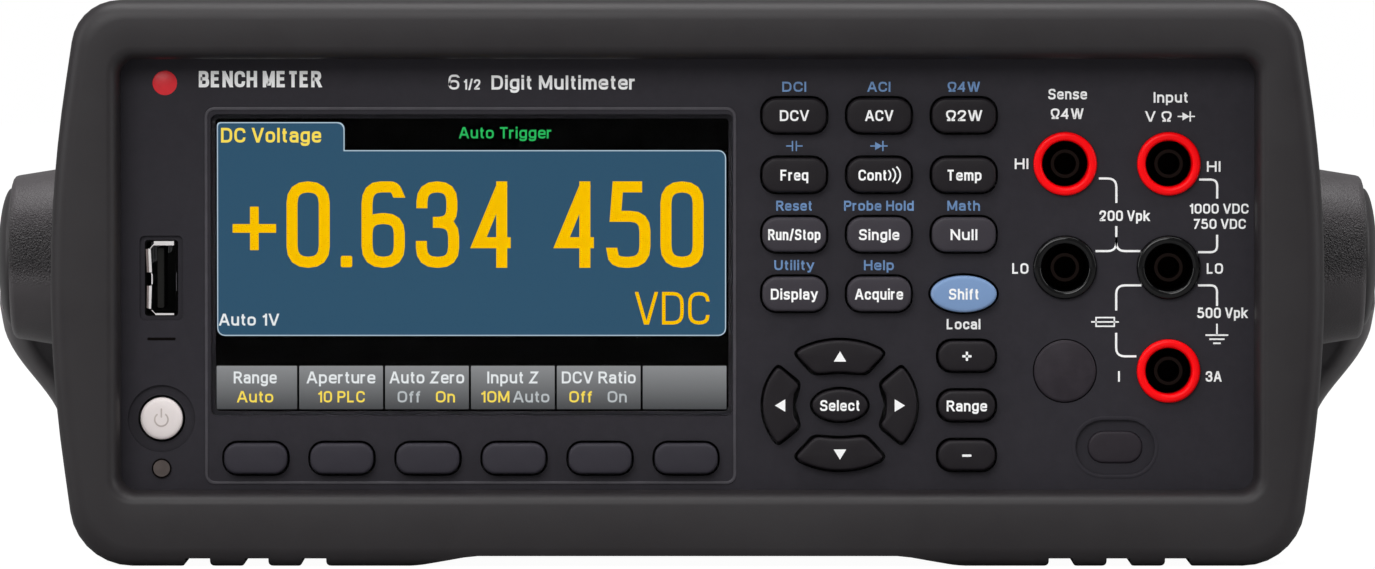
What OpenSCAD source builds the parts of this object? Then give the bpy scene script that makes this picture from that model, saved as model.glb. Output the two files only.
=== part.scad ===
// Half-rack bench multimeter with rubber bumpers and a swinging bail handle.
// +Z is up, the front faces -Y, and the origin is on the bench under the middle.

/* [Overall] */
// Width over the two handle hubs
overall_w = 261.2; // [255:0.1:320]
// Height from the bench to the top of the bumpers
overall_h = 103.8; // [100:0.1:128]
// Depth over the two bumpers
overall_d = 303.2; // [295:0.1:370]

/* [Case] */
// Radius of the sleeve's long edges
case_r = 5; // [2:0.5:8]
// Thickness of the sleeve's sheet
sleeve_wall = 1.2; // [0.8:0.1:2]
// Thickness of the inner sheet metal
sheet = 1; // [0.8:0.1:1.6]
// Number of vent slots in each side
vent_count = 14; // [4:1:18]
// Distance from one vent slot to the next
vent_pitch = 6; // [5:0.5:7]

/* [Bumpers] */
// Rubber above and below the case
bumper_over = 7.75; // [6:0.05:10]
// Rubber beside the case, half way up
bumper_side_t = 10.4; // [8:0.1:13]
// Length of each bumper along the case
bumper_len = 38.5; // [30:0.5:45]
// How far the front panel sits behind the bumper's front face
front_recess = 8.4; // [5:0.1:12]
// How far the rear panel sits inside the rear bumper's face
rear_recess = 22.5; // [18:0.1:28]
// Radius of the bow of the bumpers' sides
side_bow_r = 240; // [200:5:400]
// Radius of the bumpers' top corners
top_corner_r = 8.8; // [5:0.1:12]
// Radius of the bumpers' bottom corners
bottom_corner_r = 11.5; // [8:0.1:14]
// How far the bumper's lip reaches over the front panel at the sides
lip_side = 2.3; // [1:0.1:4]
// How far the bumper's lip reaches over the front panel at the top
lip_top = 3.05; // [1:0.05:5]
// How far the bumper's lip reaches over the front panel at the bottom
lip_bottom = 6; // [2:0.1:8]
// Width of the chamfer round the bumper's opening
lip_chamfer = 3.3; // [1:0.1:5]
// Height of the raised underside between the feet
foot_h = 2; // [1:0.1:4]

/* [Panel] */
// Thickness of the moulded front panel
panel_t = 2.5; // [2:0.1:3.5]
// Length of the front moulding's rim along the case
rim_len = 23; // [18:0.5:30]
// Width of the display window
window_w = 96; // [90:0.1:98]
// Height of the display window
window_h = 55.5; // [50:0.1:58]
// Gap round each key
key_gap = 0.45; // [0.3:0.05:0.7]
// How far a key stands out of the panel
key_proud = 2.4; // [1.5:0.1:3.5]
// How far a key goes in
key_travel = 1; // [0.5:0.1:1.4]
// Softkey width
softkey_w = 11.55; // [9:0.05:13]
// Softkey height
softkey_h = 5.6; // [4.5:0.1:6]
// Function key width
key_w = 11.7; // [9:0.1:13]
// Function key height
key_h = 6.3; // [5:0.1:7.5]
// Range key width
range_key_w = 10.4; // [8:0.1:11]
// Range key height
range_key_h = 5.5; // [4.5:0.1:6]
// Radius of the power button
power_r = 3.87; // [3:0.01:4.5]

/* [Jacks] */
// Distance from one jack to the next
jack_pitch = 19.05; // [16:0.05:20]
// Radius of a jack's plastic shell
jack_r = 5.85; // [5.5:0.05:7]
// Radius of the hollow in a jack's shell
jack_hollow_r = 4.2; // [4:0.05:5]
// Radius of the plug's bore in a jack's contact
contact_bore_r = 2.02; // [2:0.01:2.2]
// Wall of a jack's contact tube
contact_wall = 0.6; // [0.5:0.1:0.9]
// Depth of the plug's bore
contact_depth = 18; // [14:0.5:22]

/* [Handle] */
// How far each hub stands out past the bumpers
hub_stand = 13.8; // [12:0.1:17]
// Distance from the bumper's front face back to the handle's pivot
hub_back = 70; // [66:0.5:90]
// Height of the handle's pivot above the middle of the case
hub_rise = 2.7; // [0:0.1:5]
// Radius of the handle's hub at the case
hub_r_in = 17.8; // [17:0.1:20]
// Radius of the handle's hub at its outer end
hub_r_out = 15.5; // [15:0.1:18]
// Angle of the folded arm below the horizontal
fold_angle = 25; // [24:0.5:26]
// Thickness of the handle's arm
arm_t = 4.8; // [4:0.1:5]
// Width of the handle's arm at the hub
arm_w = 23; // [18:0.5:28]
// Width of the grip along the case
grip_w = 22; // [18:0.5:26]
// Thickness of the grip
grip_t = 5.2; // [4:0.1:5.4]
// Height of the folded grip above the bench
grip_clear = 1.3; // [0.8:0.1:1.8]
// Radius of the pivot shaft
pivot_r = 6; // [4:0.1:7]
// Radial clearance of the pivot in the hub
pivot_fit = 0.06; // [0.02:0.01:0.1]

/* [Rear] */
// Radius of the fan's opening
fan_r = 27.5; // [24:0.5:34]
// Number of fan blades
fan_blades = 7; // [5:1:9]
// Width of the mains inlet
inlet_w = 28; // [27:0.5:32]
// Height of the mains inlet with its fuse drawer
inlet_h = 46; // [44:0.5:50]

/* [Hidden] */

// Sizes that follow the overall sizes
bumper_w = overall_w - 2 * hub_stand;
case_w = bumper_w - 2 * bumper_side_t;
case_h = overall_h - 2 * bumper_over;
case_d = overall_d - front_recess - rear_recess;

// Places along the depth, front to back
y_front = -overall_d / 2;
y_back = overall_d / 2;
y_panel = y_front + front_recess;
y_rear = y_panel + case_d;
y_plate = y_panel + panel_t;
y_rim = y_panel + rim_len;
seam = 0.2;
fit = 0.1;

// Places across and up
z_mid = overall_h / 2;
case_z0 = z_mid - case_h / 2;
case_z1 = z_mid + case_h / 2;
left = -case_w / 2;
right = case_w / 2;

// Front panel layout, measured from the case's left or right edge and from mid-height
strip_x = left + 9.7;
window_x = left + 18.75 + window_w / 2;
window_z = z_mid + 3.15;
soft_space = 4.27;
soft_pitch = softkey_w + soft_space;
soft_x = window_x - 0.15 - 2.5 * soft_pitch;
soft_z = z_mid - 32.35;
mat_gap = 1.05;
func_space_x = 3.87;
func_space_z = 4.63;
func_pitch_x = key_w + func_space_x;
func_pitch_z = key_h + func_space_z;
func_x = window_x + window_w / 2 + 5.4 + key_w / 2;
func_z = z_mid + 30.7;
shift_key = 11;
nav_x = func_x + func_pitch_x / 2 + 0.615;
nav_z = z_mid - 22.55;
nav_a = 14.15;
nav_b = 11.95;
select_a = 5.08;
select_b = 2.93;
range_space = 3.63;
range_pitch = range_key_h + range_space;
range_x = func_x + 2 * func_pitch_x + 0.56;
range_z = z_mid - 13.5;
usb_z = z_mid + 0.8;
power_z = z_mid - 25.05;
led_z = z_mid - 34.2;
led_r = 1.65;
jack_x = right - 17.98;
jack_z = z_mid + 21.8;
block_w = 2 * jack_pitch - 1;
block_x = jack_x - jack_pitch / 2;
mat_x1 = block_x - block_w / 2 - mat_gap;
blank_r = 5.7;
oval_x = jack_x - jack_pitch / 2 - 0.25;
oval_z = z_mid - 30.35;

// Key build
key_flange = 0.9;
key_flange_t = 1;
key_back = 4.6;
y_key_front = y_panel - key_proud;
y_key_back = y_panel + key_back;
y_flange = y_plate + 0.3;
dome_gap = 0.6;
y_dome = y_key_back + key_travel + dome_gap;
y_board = y_dome + 3.4;
board_t = 1.6;

// Handle build
hub_y = y_front + hub_back;
hub_z = z_mid + hub_rise;
boss_t = 5.4;
hub_x_in = right + boss_t + 0.3;
cap_h = 3.1;
hub_x_out = overall_w / 2 - cap_h;
arm_x_low = bumper_w / 2 + 0.7 + arm_t;
arm_x_high = overall_w / 2 - 0.4;
bow_start = 10;
bow_end = 66;
grip_z0 = grip_clear;
grip_z1 = grip_clear + grip_t;
grip_drop = hub_z - (grip_z0 + grip_z1) / 2;
grip_reach = grip_drop / tan(fold_angle);
grip_y = hub_y + grip_reach;
axle_head_lip = 2.5;
axle_head_r = pivot_r + axle_head_lip;
axle_head_t = 2;
axle_end = hub_x_out - 3.2;

// Rear panel layout
fan_wall = 2.5;
fan_size = 2 * (fan_r + fan_wall);
fan_x = left + 8 + fan_size / 2;
fan_z = z_mid + 0.5;
fan_hole_inset = 5;
grille_pitch = 5.2;
grille_rings = floor((fan_r - 1) / grille_pitch);
fan_t = 15;
inlet_x = right - 24;
inlet_z = z_mid - 4;
port_z = z_mid - 18;
lan_x = right - 80;
usb_b_x = right - 56;
bnc_x = [left + 86, left + 104];
bnc_z = z_mid - 18;
tray_z = case_z0 + sleeve_wall + 1;
tray_w = case_w - 2 * sleeve_wall - 4;
tray_y0 = y_rim + 1;
standoff_h = 7;
main_z = tray_z + sheet + standoff_h;
main_w = tray_w - 10;
main_y0 = tray_y0 + 2;
main_y1 = y_rear - 27;
screw_r = 1.5;
rear_screw_inset = 8;
ground_post_rise = 9;

// Points of an arc from angle a0 to a1
function arc(cx, cz, r, a0, a1, n = 5) =
  [for (i = [0:n]) let (a = a0 + (a1 - a0) * i / n) [cx + r * cos(a), cz + r * sin(a)]];

// A rectangle with round corners about the origin
function round_rect(w, h, r, n = 5) = concat(
  arc(w / 2 - r, h / 2 - r, r, 0, 90, n), arc(-w / 2 + r, h / 2 - r, r, 90, 180, n),
  arc(-w / 2 + r, -h / 2 + r, r, 180, 270, n), arc(w / 2 - r, -h / 2 + r, r, 270, 360, n));

// An outline in X and Z pushed from y0 to y1
module slab(y0, y1) {
  translate([0, y1, 0]) rotate([90, 0, 0]) linear_extrude(y1 - y0) children();
}

module box(w, h, r, x, z, y0, y1, n = 5) {
  slab(y0, y1) translate([x, z]) polygon(round_rect(w, h, r, n));
}

module rod(r, x, z, y0, y1, fn = 48) {
  translate([x, y1, z]) rotate([90, 0, 0]) cylinder(h = y1 - y0, r = r, $fn = fn);
}

// Block given by its low corner and its high corner
module block(a, b) {
  translate(a) cube(b - a);
}

// ---- Bumpers ----

function half_width(z) = bumper_w / 2 - pow(z - z_mid, 2) / (2 * side_bow_r);

// Right half of the bumper's outline from bottom to top, pulled in by inset
function bumper_side(inset) =
  let (rb = bottom_corner_r - inset / 2, rt = top_corner_r - inset / 2,
       zb = rb + inset, zt = overall_h - rt - inset, n = 10)
  concat(arc(half_width(zb) - inset - rb, zb, rb, -90, -10, 7),
         [for (i = [1:n - 1]) let (z = zb + (zt - zb) * i / n) [half_width(z) - inset, z]],
         arc(half_width(zt) - inset - rt, zt, rt, 10, 90, 7));

function bumper_outline(inset) = let (s = bumper_side(inset), m = len(s) - 1)
  concat(s, [for (i = [0:m]) [-s[m - i][0], s[m - i][1]]]);

// Slices of the bumper's body: distance from its outer face, and inset
bumper_slices = [[0, 3.2], [0.8, 1.3], [2.6, 0.3], [5, 0], [bumper_len - 10, 0], [bumper_len, 3.6]];
slice = 0.02;

// Underside between the feet and the grooves of the tread, cut along the whole bumper
tread = [[66.2, 70.6], [76.8, 81.1], [87.5, 92]];
foot_in = 49;
foot_curve = 10;

module bumper_underside() {
  slab(-1, bumper_len + 1) polygon(concat(
    [[-foot_in, -1], [foot_in, -1], [foot_in, 0]],
    [for (i = [1:6]) let (a = i * 15) [foot_in - foot_curve * (1 - cos(a)), foot_h * sin(a)]],
    [for (i = [6:-1:1]) let (a = i * 15) [-foot_in + foot_curve * (1 - cos(a)), foot_h * sin(a)]],
    [[-foot_in, 0]]));
  for (side = [-1, 1], t = tread)
    slab(-1, bumper_len + 1) translate([side * (t[0] + t[1]) / 2, 0])
      polygon(round_rect(t[1] - t[0], 3.2, 0.8, 3));
}

// A bumper whose outer face is at y = 0 and whose body runs towards +Y
module bumper(recess, open_w, open_h, open_z) {
  difference() {
    hull() for (s = bumper_slices)
      translate([0, max(0, s[0] - slice), 0]) slab(0, slice) polygon(bumper_outline(s[1]));
    box(case_w + 2 * fit, case_h + 2 * fit, case_r + fit, 0, z_mid, recess - fit, bumper_len + 1);
    box(open_w, open_h, 3, 0, open_z, -1, recess + 1);
    hull() {
      box(open_w + 2 * lip_chamfer, open_h + 2 * lip_chamfer, 5.5, 0, open_z, -0.5, 0.6);
      box(open_w + 0.4, open_h + 0.4, 3.2, 0, open_z, 2.4, 2.5);
    }
    bumper_underside();
  }
}

module front_bumper() color([0.2, 0.19, 0.19])
  translate([0, y_front, 0]) bumper(front_recess, case_w - 2 * lip_side,
    case_h - lip_top - lip_bottom, z_mid + (lip_bottom - lip_top) / 2);

rear_lip = 3.5;

module rear_bumper() color([0.2, 0.19, 0.19])
  translate([0, y_back, 0]) mirror([0, 1, 0]) bumper(rear_recess, case_w - 2 * rear_lip,
    case_h - 2 * rear_lip, z_mid);

// ---- Case ----

vent_w = 2.4;
vent_h = 26;
vent_y = hub_y + 70;

module case_sleeve() color([0.42, 0.43, 0.44])
  difference() {
    box(case_w, case_h, case_r, 0, z_mid, y_rim + seam, y_rear - 2);
    box(case_w - 2 * sleeve_wall, case_h - 2 * sleeve_wall, case_r - sleeve_wall, 0, z_mid,
      y_rim - 1, y_rear + 1);
    for (i = [0:vent_count - 1])
      translate([0, vent_y + i * vent_pitch, z_mid + 12]) rotate([0, 90, 0])
        linear_extrude(case_w + 4, center = true) polygon(round_rect(vent_h, vent_w, vent_w / 2 - 0.05));
  }

module chassis_tray() color([0.75, 0.76, 0.77])
  difference() {
    union() {
      block([-tray_w / 2, tray_y0, tray_z], [tray_w / 2, y_rear - 3, tray_z + sheet]);
      for (side = [-1, 1])
        block([side * tray_w / 2 - (side > 0 ? sheet : 0), tray_y0, tray_z],
          [side * tray_w / 2 + (side > 0 ? 0 : sheet), y_rear - 3, tray_z + 22]);
      for (p = board_posts)
        translate([p[0], p[1], tray_z]) cylinder(h = standoff_h + sheet, r = 3.2, $fn = 32);
    }
    for (p = board_posts)
      translate([p[0], p[1], tray_z - 1]) cylinder(h = standoff_h + 5, r = screw_r + 0.1, $fn = 32);
  }

board_posts = [for (sx = [-1, 1], y = [main_y0 + 6, main_y1 - 6]) [sx * (main_w / 2 - 6), y]];

rear_screws = [for (sx = [-1, 1], sz = [-1, 1])
  [sx * (case_w / 2 - rear_screw_inset), z_mid + sz * (case_h / 2 - rear_screw_inset)]];
ground_post = [right - 50, case_z0 + ground_post_rise];

module rear_panel() color([0.7, 0.71, 0.72])
  difference() {
    box(case_w - 2 * sleeve_wall - 2 * fit, case_h - 2 * sleeve_wall - 2 * fit,
      case_r - sleeve_wall, 0, z_mid, y_rear - sleeve_wall, y_rear);
    box(inlet_w + 0.2, inlet_h + 0.2, 1.5, inlet_x, inlet_z, y_rear - 5, y_rear + 1);
    box(16.2, 13.7, 0.5, lan_x, port_z, y_rear - 5, y_rear + 1);
    box(12.2, 11.2, 0.5, usb_b_x, port_z, y_rear - 5, y_rear + 1);
    for (x = bnc_x) rod(6.4, x, bnc_z, y_rear - 5, y_rear + 1);
    for (p = rear_screws) rod(screw_r + 0.2, p[0], p[1], y_rear - 5, y_rear + 1);
    rod(screw_r + 0.5, ground_post[0], ground_post[1], y_rear - 5, y_rear + 1);
    for (ring = [1:grille_rings], i = [0:6 * ring - 1])
      rod(1.9, fan_x + grille_pitch * ring * cos(i * 60 / ring),
        fan_z + grille_pitch * ring * sin(i * 60 / ring), y_rear - 5, y_rear + 1, 16);
  }

// ---- Front moulding and display ----

function softkeys() = [for (k = [0:5]) [soft_x + k * soft_pitch, soft_z, softkey_w, softkey_h, 2.4]];
function function_keys() = [for (row = [0:3], col = [0:2])
  [func_x + col * func_pitch_x, func_z - row * func_pitch_z, key_w, key_h, 2.6]];
function range_keys() = [for (k = [0:2])
  [range_x, range_z - k * range_pitch, range_key_w, range_key_h, 2.4]];
round_keys = concat(softkeys(), [for (k = [0:10]) function_keys()[k]], range_keys());
shift_grow = 0.2;

function ellipse_arc(a, b, x0, x1, n = 10) =
  [for (i = [0:n]) let (x = x0 + (x1 - x0) * i / n) [x, b * sqrt(1 - x * x / (a * a))]];

// Rounded corner at b between a and c, starting r away from b
function corner(a, b, c, r = 1.1, n = 4) =
  let (p = b + (a - b) * min(r / norm(a - b), 0.5), q = b + (c - b) * min(r / norm(c - b), 0.5))
  [for (i = [0:n]) let (t = i / n) (1 - t) * (1 - t) * p + 2 * t * (1 - t) * b + t * t * q];

// Outline of the arrow key above the middle, grown by g
function nav_up_outline(g) =
  let (outer = ellipse_arc(nav_a + g, nav_b + g, 7.2 + g, -7.2 - g, 12), m = len(outer) - 1,
       tip = [8.1 + 1.4 * g, 9.45], heel = [4.6 + g, 5.8 - g], mid = [0, 6.15 - g],
       tip_l = [-tip[0], tip[1]], heel_l = [-heel[0], heel[1]])
  concat(corner(mid, heel, tip), corner(heel, tip, outer[0]), outer,
    corner(outer[m], tip_l, heel_l), corner(tip_l, heel_l, mid), [mid]);

// Outline of the arrow key right of the middle, grown by g
function nav_right_outline(g) =
  let (outer = [for (p = ellipse_arc(nav_b + g, nav_a + g, -6.1 - g, 6.1 + g, 12)) [p[1], p[0]]],
       m = len(outer) - 1, tip = [11.35, 7.1 + 1.4 * g], heel = [7.4 - g, 3.7 + g], mid = [8.6 - g, 0],
       tip_l = [tip[0], -tip[1]], heel_l = [heel[0], -heel[1]])
  concat([mid], corner(mid, heel_l, tip_l), corner(heel_l, tip_l, outer[0]), outer,
    corner(outer[m], tip, heel), corner(tip, heel, mid));

// Outline of the oval shift key, grown by g
function shift_outline(g) = [for (i = [0:47]) let (a = i * 7.5, k = function_keys()[shift_key])
  [k[0] + (k[2] / 2 + shift_grow + g) * cos(a), k[1] + (k[3] / 2 + shift_grow + g) * sin(a)]];

module nav_shape(which, g = 0) translate([nav_x, nav_z]) {
  if (which == "up") polygon(nav_up_outline(g));
  if (which == "down") mirror([0, 1]) polygon(nav_up_outline(g));
  if (which == "right") polygon(nav_right_outline(g));
  if (which == "left") mirror([1, 0]) polygon(nav_right_outline(g));
  if (which == "select") polygon([for (i = [0:31]) let (a = i * 11.25)
    [(select_a + g) * cos(a), (select_b + g) * sin(a)]]);
}

jack_places = [[jack_x - jack_pitch, jack_z], [jack_x, jack_z], [jack_x, jack_z - 2 * jack_pitch],
  [jack_x - jack_pitch, jack_z - jack_pitch], [jack_x, jack_z - jack_pitch]];
blank_place = [jack_x - jack_pitch, jack_z - 2 * jack_pitch];
usb_w = 6.1;
usb_h = 14;
power_dish_r = 6.2;

module front_bezel() color([0.2, 0.2, 0.22])
  difference() {
    box(case_w, case_h, case_r, 0, z_mid, y_panel, y_rim);
    box(case_w - 5, case_h - 5, case_r - 2.5, 0, z_mid, y_plate, y_rim + 1);
    box(window_w, window_h, 1.2, window_x, window_z, y_panel - 1, y_panel + 1.8);
    box(window_w - 1.6, window_h - 1.6, 0.8, window_x, window_z, y_panel, y_plate + 1);
    for (k = round_keys)
      box(k[2] + 2 * key_gap, k[3] + 2 * key_gap, k[4] + key_gap, k[0], k[1], y_panel - 1, y_plate + 1);
    for (w = ["up", "down", "left", "right", "select"])
      slab(y_panel - 1, y_plate + 1) nav_shape(w, key_gap);
    slab(y_panel - 1, y_plate + 1) polygon(shift_outline(key_gap));
    rod(power_r + key_gap, strip_x, power_z, y_panel - 1, y_plate + 1);
    rod(power_dish_r, strip_x, power_z, y_panel - 1, y_panel + 0.8);
    rod(led_r + 0.05, strip_x, led_z, y_panel - 1, y_plate + 1);
    for (p = concat(jack_places, [blank_place])) rod(jack_r + 0.05, p[0], p[1], y_panel - 1, y_plate + 1);
    box(10.1, 6, 2.9, oval_x, oval_z, y_panel - 1, y_plate + 1);
    box(14.6, 10.1, 5, oval_x, oval_z, y_panel - 1, y_panel + 0.8);
    box(usb_w, usb_h, 0.6, strip_x, usb_z, y_panel - 1, y_plate + 1);
    box(usb_w + 1.9, usb_h + 1.6, 1, strip_x, usb_z, y_panel - 1, y_panel + 0.7);
  }

module display_window() color([0.12, 0.13, 0.15, 0.6])
  box(window_w - 0.3, window_h - 0.3, 1.1, window_x, window_z, y_panel + 0.25, y_panel + 1.75);

lcd_w = 103;
lcd_h = 61;

module lcd_module() color([0.16, 0.28, 0.4])
  difference() {
    box(lcd_w, lcd_h, 1, window_x, window_z, y_plate + 0.2, y_board - 0.4);
    box(lcd_w - 8, lcd_h - 6, 0.5, window_x, window_z, y_plate, y_plate + 0.5);
  }

// ---- Keys ----

// One straight key: cap through the panel, flange behind it
module round_key(k) {
  box(k[2], k[3], k[4], k[0], k[1], y_key_front, y_key_back, 7);
  box(k[2] + 2 * key_flange, k[3] + 2 * key_flange, k[4], k[0], k[1], y_flange, y_flange + key_flange_t);
}

module softkey(i) color([0.23, 0.23, 0.25]) round_key(softkeys()[i]);
module function_key(i) color(i > 5 ? [0.3, 0.29, 0.31] : [0.18, 0.17, 0.18])
  round_key(function_keys()[i]);
module shift_key_cap() color([0.5, 0.6, 0.75]) {
  slab(y_key_front, y_key_back) polygon(shift_outline(0));
  slab(y_flange, y_flange + key_flange_t) polygon(shift_outline(key_flange));
}
module range_key(i) color([0.18, 0.17, 0.18]) round_key(range_keys()[i]);
module nav_key(w) color([0.18, 0.17, 0.18]) slab(y_key_front, y_key_back) nav_shape(w);

module power_button() color([0.86, 0.83, 0.82]) {
  rod(power_r, strip_x, power_z, y_panel - 0.9, y_key_back);
  rod(power_r + key_flange, strip_x, power_z, y_flange, y_flange + key_flange_t);
}

module keypad_mat() color([0.55, 0.55, 0.56]) {
  slab(y_board - 1.2, y_board) polygon([
    [soft_x - 9, soft_z - 5], [mat_x1, soft_z - 5], [mat_x1, func_z + 5.5],
    [window_x + lcd_w / 2 + 0.6, func_z + 5.5], [window_x + lcd_w / 2 + 0.6, soft_z + 3.6],
    [soft_x - 9, soft_z + 3.6]]);
  for (k = concat(softkeys(), function_keys(), range_keys())) rod(2.2, k[0], k[1], y_dome, y_board, 24);
  for (p = [[0, 0], [0, 8.8], [0, -8.8], [11, 0], [-11, 0]])
    rod(1.8, nav_x + p[0], nav_z + p[1], y_dome, y_board, 24);
}

module front_board() color([0.1, 0.4, 0.25])
  difference() {
    block([left + 6, y_board, case_z0 + 5], [block_x - block_w / 2 - 0.5, y_board + board_t, case_z1 - 5]);
    rod(power_r + 1, strip_x, power_z, y_board - 1, y_board + 3);
    box(usb_w + 1, usb_h + 1, 0.5, strip_x, usb_z, y_board - 1, y_board + 3);
  }

module power_led_lens() color([0.35, 0.32, 0.3])
  rod(led_r, strip_x, led_z, y_panel - 0.3, y_board - 0.3, 32);

// ---- Jacks and blanks ----

module jack_shell(p) difference() {
  union() {
    rod(jack_r, p[0], p[1], y_panel - 0.9, y_panel + 20);
    rod(jack_r + 1.6, p[0], p[1], y_plate + 0.1, y_plate + 1.4);
  }
  rod(jack_hollow_r, p[0], p[1], y_panel - 2, y_panel + 19);
}

module jack_shells_red() color([0.85, 0.02, 0.05]) for (i = [0:2]) jack_shell(jack_places[i]);
module jack_shells_black() color([0.08, 0.08, 0.08]) for (i = [3:4]) jack_shell(jack_places[i]);

module jack_contacts() color([0.8, 0.66, 0.35])
  for (p = jack_places) difference() {
    union() {
      rod(contact_bore_r + contact_wall, p[0], p[1], y_panel + 0.6, y_panel + 18.9);
      rod(jack_hollow_r - 0.1, p[0], p[1], y_panel + 17.4, y_panel + 18.9);
    }
    rod(contact_bore_r, p[0], p[1], y_panel - 1, y_panel + 0.6 + min(contact_depth, 17.5));
  }

module jack_block() color([0.12, 0.12, 0.13])
  difference() {
    box(block_w, 3 * jack_pitch - 1, 2, block_x, jack_z - jack_pitch,
      y_plate + 4, y_panel + 24);
    for (p = concat(jack_places, [blank_place]))
      rod(jack_r + 0.1, p[0], p[1], y_panel, y_panel + 20.2);
  }

module blank_plugs() color([0.2, 0.18, 0.2]) {
  rod(blank_r, blank_place[0], blank_place[1], y_panel - 0.3, y_plate);
  rod(blank_r + 1.5, blank_place[0], blank_place[1], y_plate + 0.1, y_plate + 1.3);
  rod(blank_r - 1, blank_place[0], blank_place[1], y_plate - 0.5, y_plate + 1);
  box(10, 5.9, 2.9, oval_x, oval_z, y_panel + 0.3, y_plate);
  box(9, 5, 2.4, oval_x, oval_z, y_plate - 0.5, y_plate + 2);
}

module usb_host_shell() color([0.8, 0.8, 0.82])
  difference() {
    box(usb_w - 0.2, usb_h - 0.2, 0.6, strip_x, usb_z, y_panel + 0.3, y_panel + 15);
    box(usb_w - 1, usb_h - 1.1, 0.4, strip_x, usb_z, y_panel - 1, y_panel + 14.4);
  }

module usb_host_tongue() color([0.15, 0.15, 0.16])
  block([strip_x - 2.1, y_panel + 1.6, usb_z - 5.6], [strip_x - 0.2, y_panel + 14.3, usb_z + 5.6]);

// ---- Inside ----

module main_board() color([0.08, 0.38, 0.22])
  difference() {
    union() {
      block([-main_w / 2, main_y0, main_z], [main_w / 2, main_y1, main_z + board_t]);
      for (k = [0:4])
        translate([left + 30 + k * 14, main_y0 + 28, main_z]) cylinder(h = 16, r = 5, $fn = 32);
      for (k = [0:3])
        block([left + 24 + k * 22, main_y0 + 50, main_z], [left + 40 + k * 22, main_y0 + 76, main_z + 9]);
      block([left + 30, main_y0 + 95, main_z], [left + 90, main_y0 + 100, main_z + 34]);
    }
    for (p = board_posts)
      translate([p[0], p[1], main_z - 1]) cylinder(h = 4, r = screw_r + 0.2, $fn = 32);
  }

module power_module() color([0.25, 0.25, 0.27]) {
  block([right - 76, main_y0 + 120, main_z + board_t + 0.1], [right - 26, main_y0 + 168, main_z + 46]);
  translate([right - 51, main_y0 + 144, main_z + 45]) cylinder(h = 5, r = 20, $fn = 48);
}

module shield_can() color([0.78, 0.79, 0.8])
  difference() {
    block([right - 90, main_y0 + 14, main_z + board_t + 0.1], [right - 22, main_y0 + 96, main_z + 24]);
    block([right - 89, main_y0 + 15, main_z], [right - 23, main_y0 + 95, main_z + 23]);
  }

// ---- Rear pieces ----

drawer_h = 12;
drawer_z = inlet_z + inlet_h / 2 - drawer_h / 2 - 2.5;
socket_w = 24;
socket_h = 16.6;
socket_z = inlet_z - 8;
pins = [[0, 3.6], [-7, -1.2], [7, -1.2]];

module mains_inlet() color([0.07, 0.07, 0.08])
  difference() {
    union() {
      box(inlet_w, inlet_h, 1.5, inlet_x, inlet_z, y_rear - 24, y_rear + 1);
      box(inlet_w + 6, inlet_h + 4, 3, inlet_x, inlet_z, y_rear + 0.05, y_rear + 2.4);
    }
    box(socket_w, socket_h, 2.5, inlet_x, socket_z, y_rear - 15, y_rear + 5);
    box(20.6, drawer_h + 0.6, 0.5, inlet_x, drawer_z, y_rear - 20.5, y_rear + 5);
    pin_blades();
  }

module pin_blades() for (p = pins)
  box(1.9, 4, 0.3, inlet_x + p[0], socket_z + p[1], y_rear - 26, y_rear - 2);

module inlet_pins() color([0.85, 0.86, 0.87]) pin_blades();

module fuse_drawer() color([0.05, 0.05, 0.06])
  difference() {
    union() {
      box(20, drawer_h, 0.4, inlet_x, drawer_z, y_rear - 20, y_rear + 2.4);
      box(23, drawer_h + 1.2, 0.8, inlet_x, drawer_z, y_rear + 2.75, y_rear + 4.4);
      box(20, drawer_h, 0.4, inlet_x, drawer_z, y_rear + 2, y_rear + 3);
    }
    box(14, drawer_h - 3, 0.4, inlet_x, drawer_z + 3, y_rear - 18, y_rear - 1);
    box(10, 1, 0.3, inlet_x, drawer_z - 3.5, y_rear + 3.6, y_rear + 6);
  }

module usb_device_port() color([0.78, 0.78, 0.8])
  difference() {
    box(12, 11, 0.5, usb_b_x, port_z, y_rear - 16, y_rear + 0.6);
    box(8.4, 7.8, 1, usb_b_x, port_z, y_rear - 9, y_rear + 2);
  }

module lan_port() color([0.78, 0.78, 0.8])
  difference() {
    box(16, 13.5, 0.5, lan_x, port_z, y_rear - 18, y_rear + 0.6);
    box(11.8, 9.6, 0.4, lan_x, port_z, y_rear - 13, y_rear + 2);
    box(6, 4, 0.4, lan_x, port_z - 4.6, y_rear - 13, y_rear + 2);
  }

module bnc_jacks() color([0.8, 0.8, 0.78])
  for (x = bnc_x) {
    difference() {
      union() {
        rod(4.85, x, bnc_z, y_rear, y_rear + 11);
        rod(6.3, x, bnc_z, y_rear - 8, y_rear + 2);
        translate([x, y_rear + 2.2, bnc_z]) rotate([90, 0, 0]) cylinder(h = 2.1, r = 8, $fn = 6);
        translate([x, y_rear + 8, bnc_z]) cylinder(h = 11.6, r = 1, center = true, $fn = 24);
      }
      rod(4, x, bnc_z, y_rear + 4, y_rear + 12);
    }
    rod(2.2, x, bnc_z, y_rear + 3.9, y_rear + 9);
  }

fan_y1 = y_rear - sleeve_wall - 0.1;
fan_y0 = fan_y1 - fan_t;
fan_hub_r = 12;
fan_pin_r = 1.5;

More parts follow.
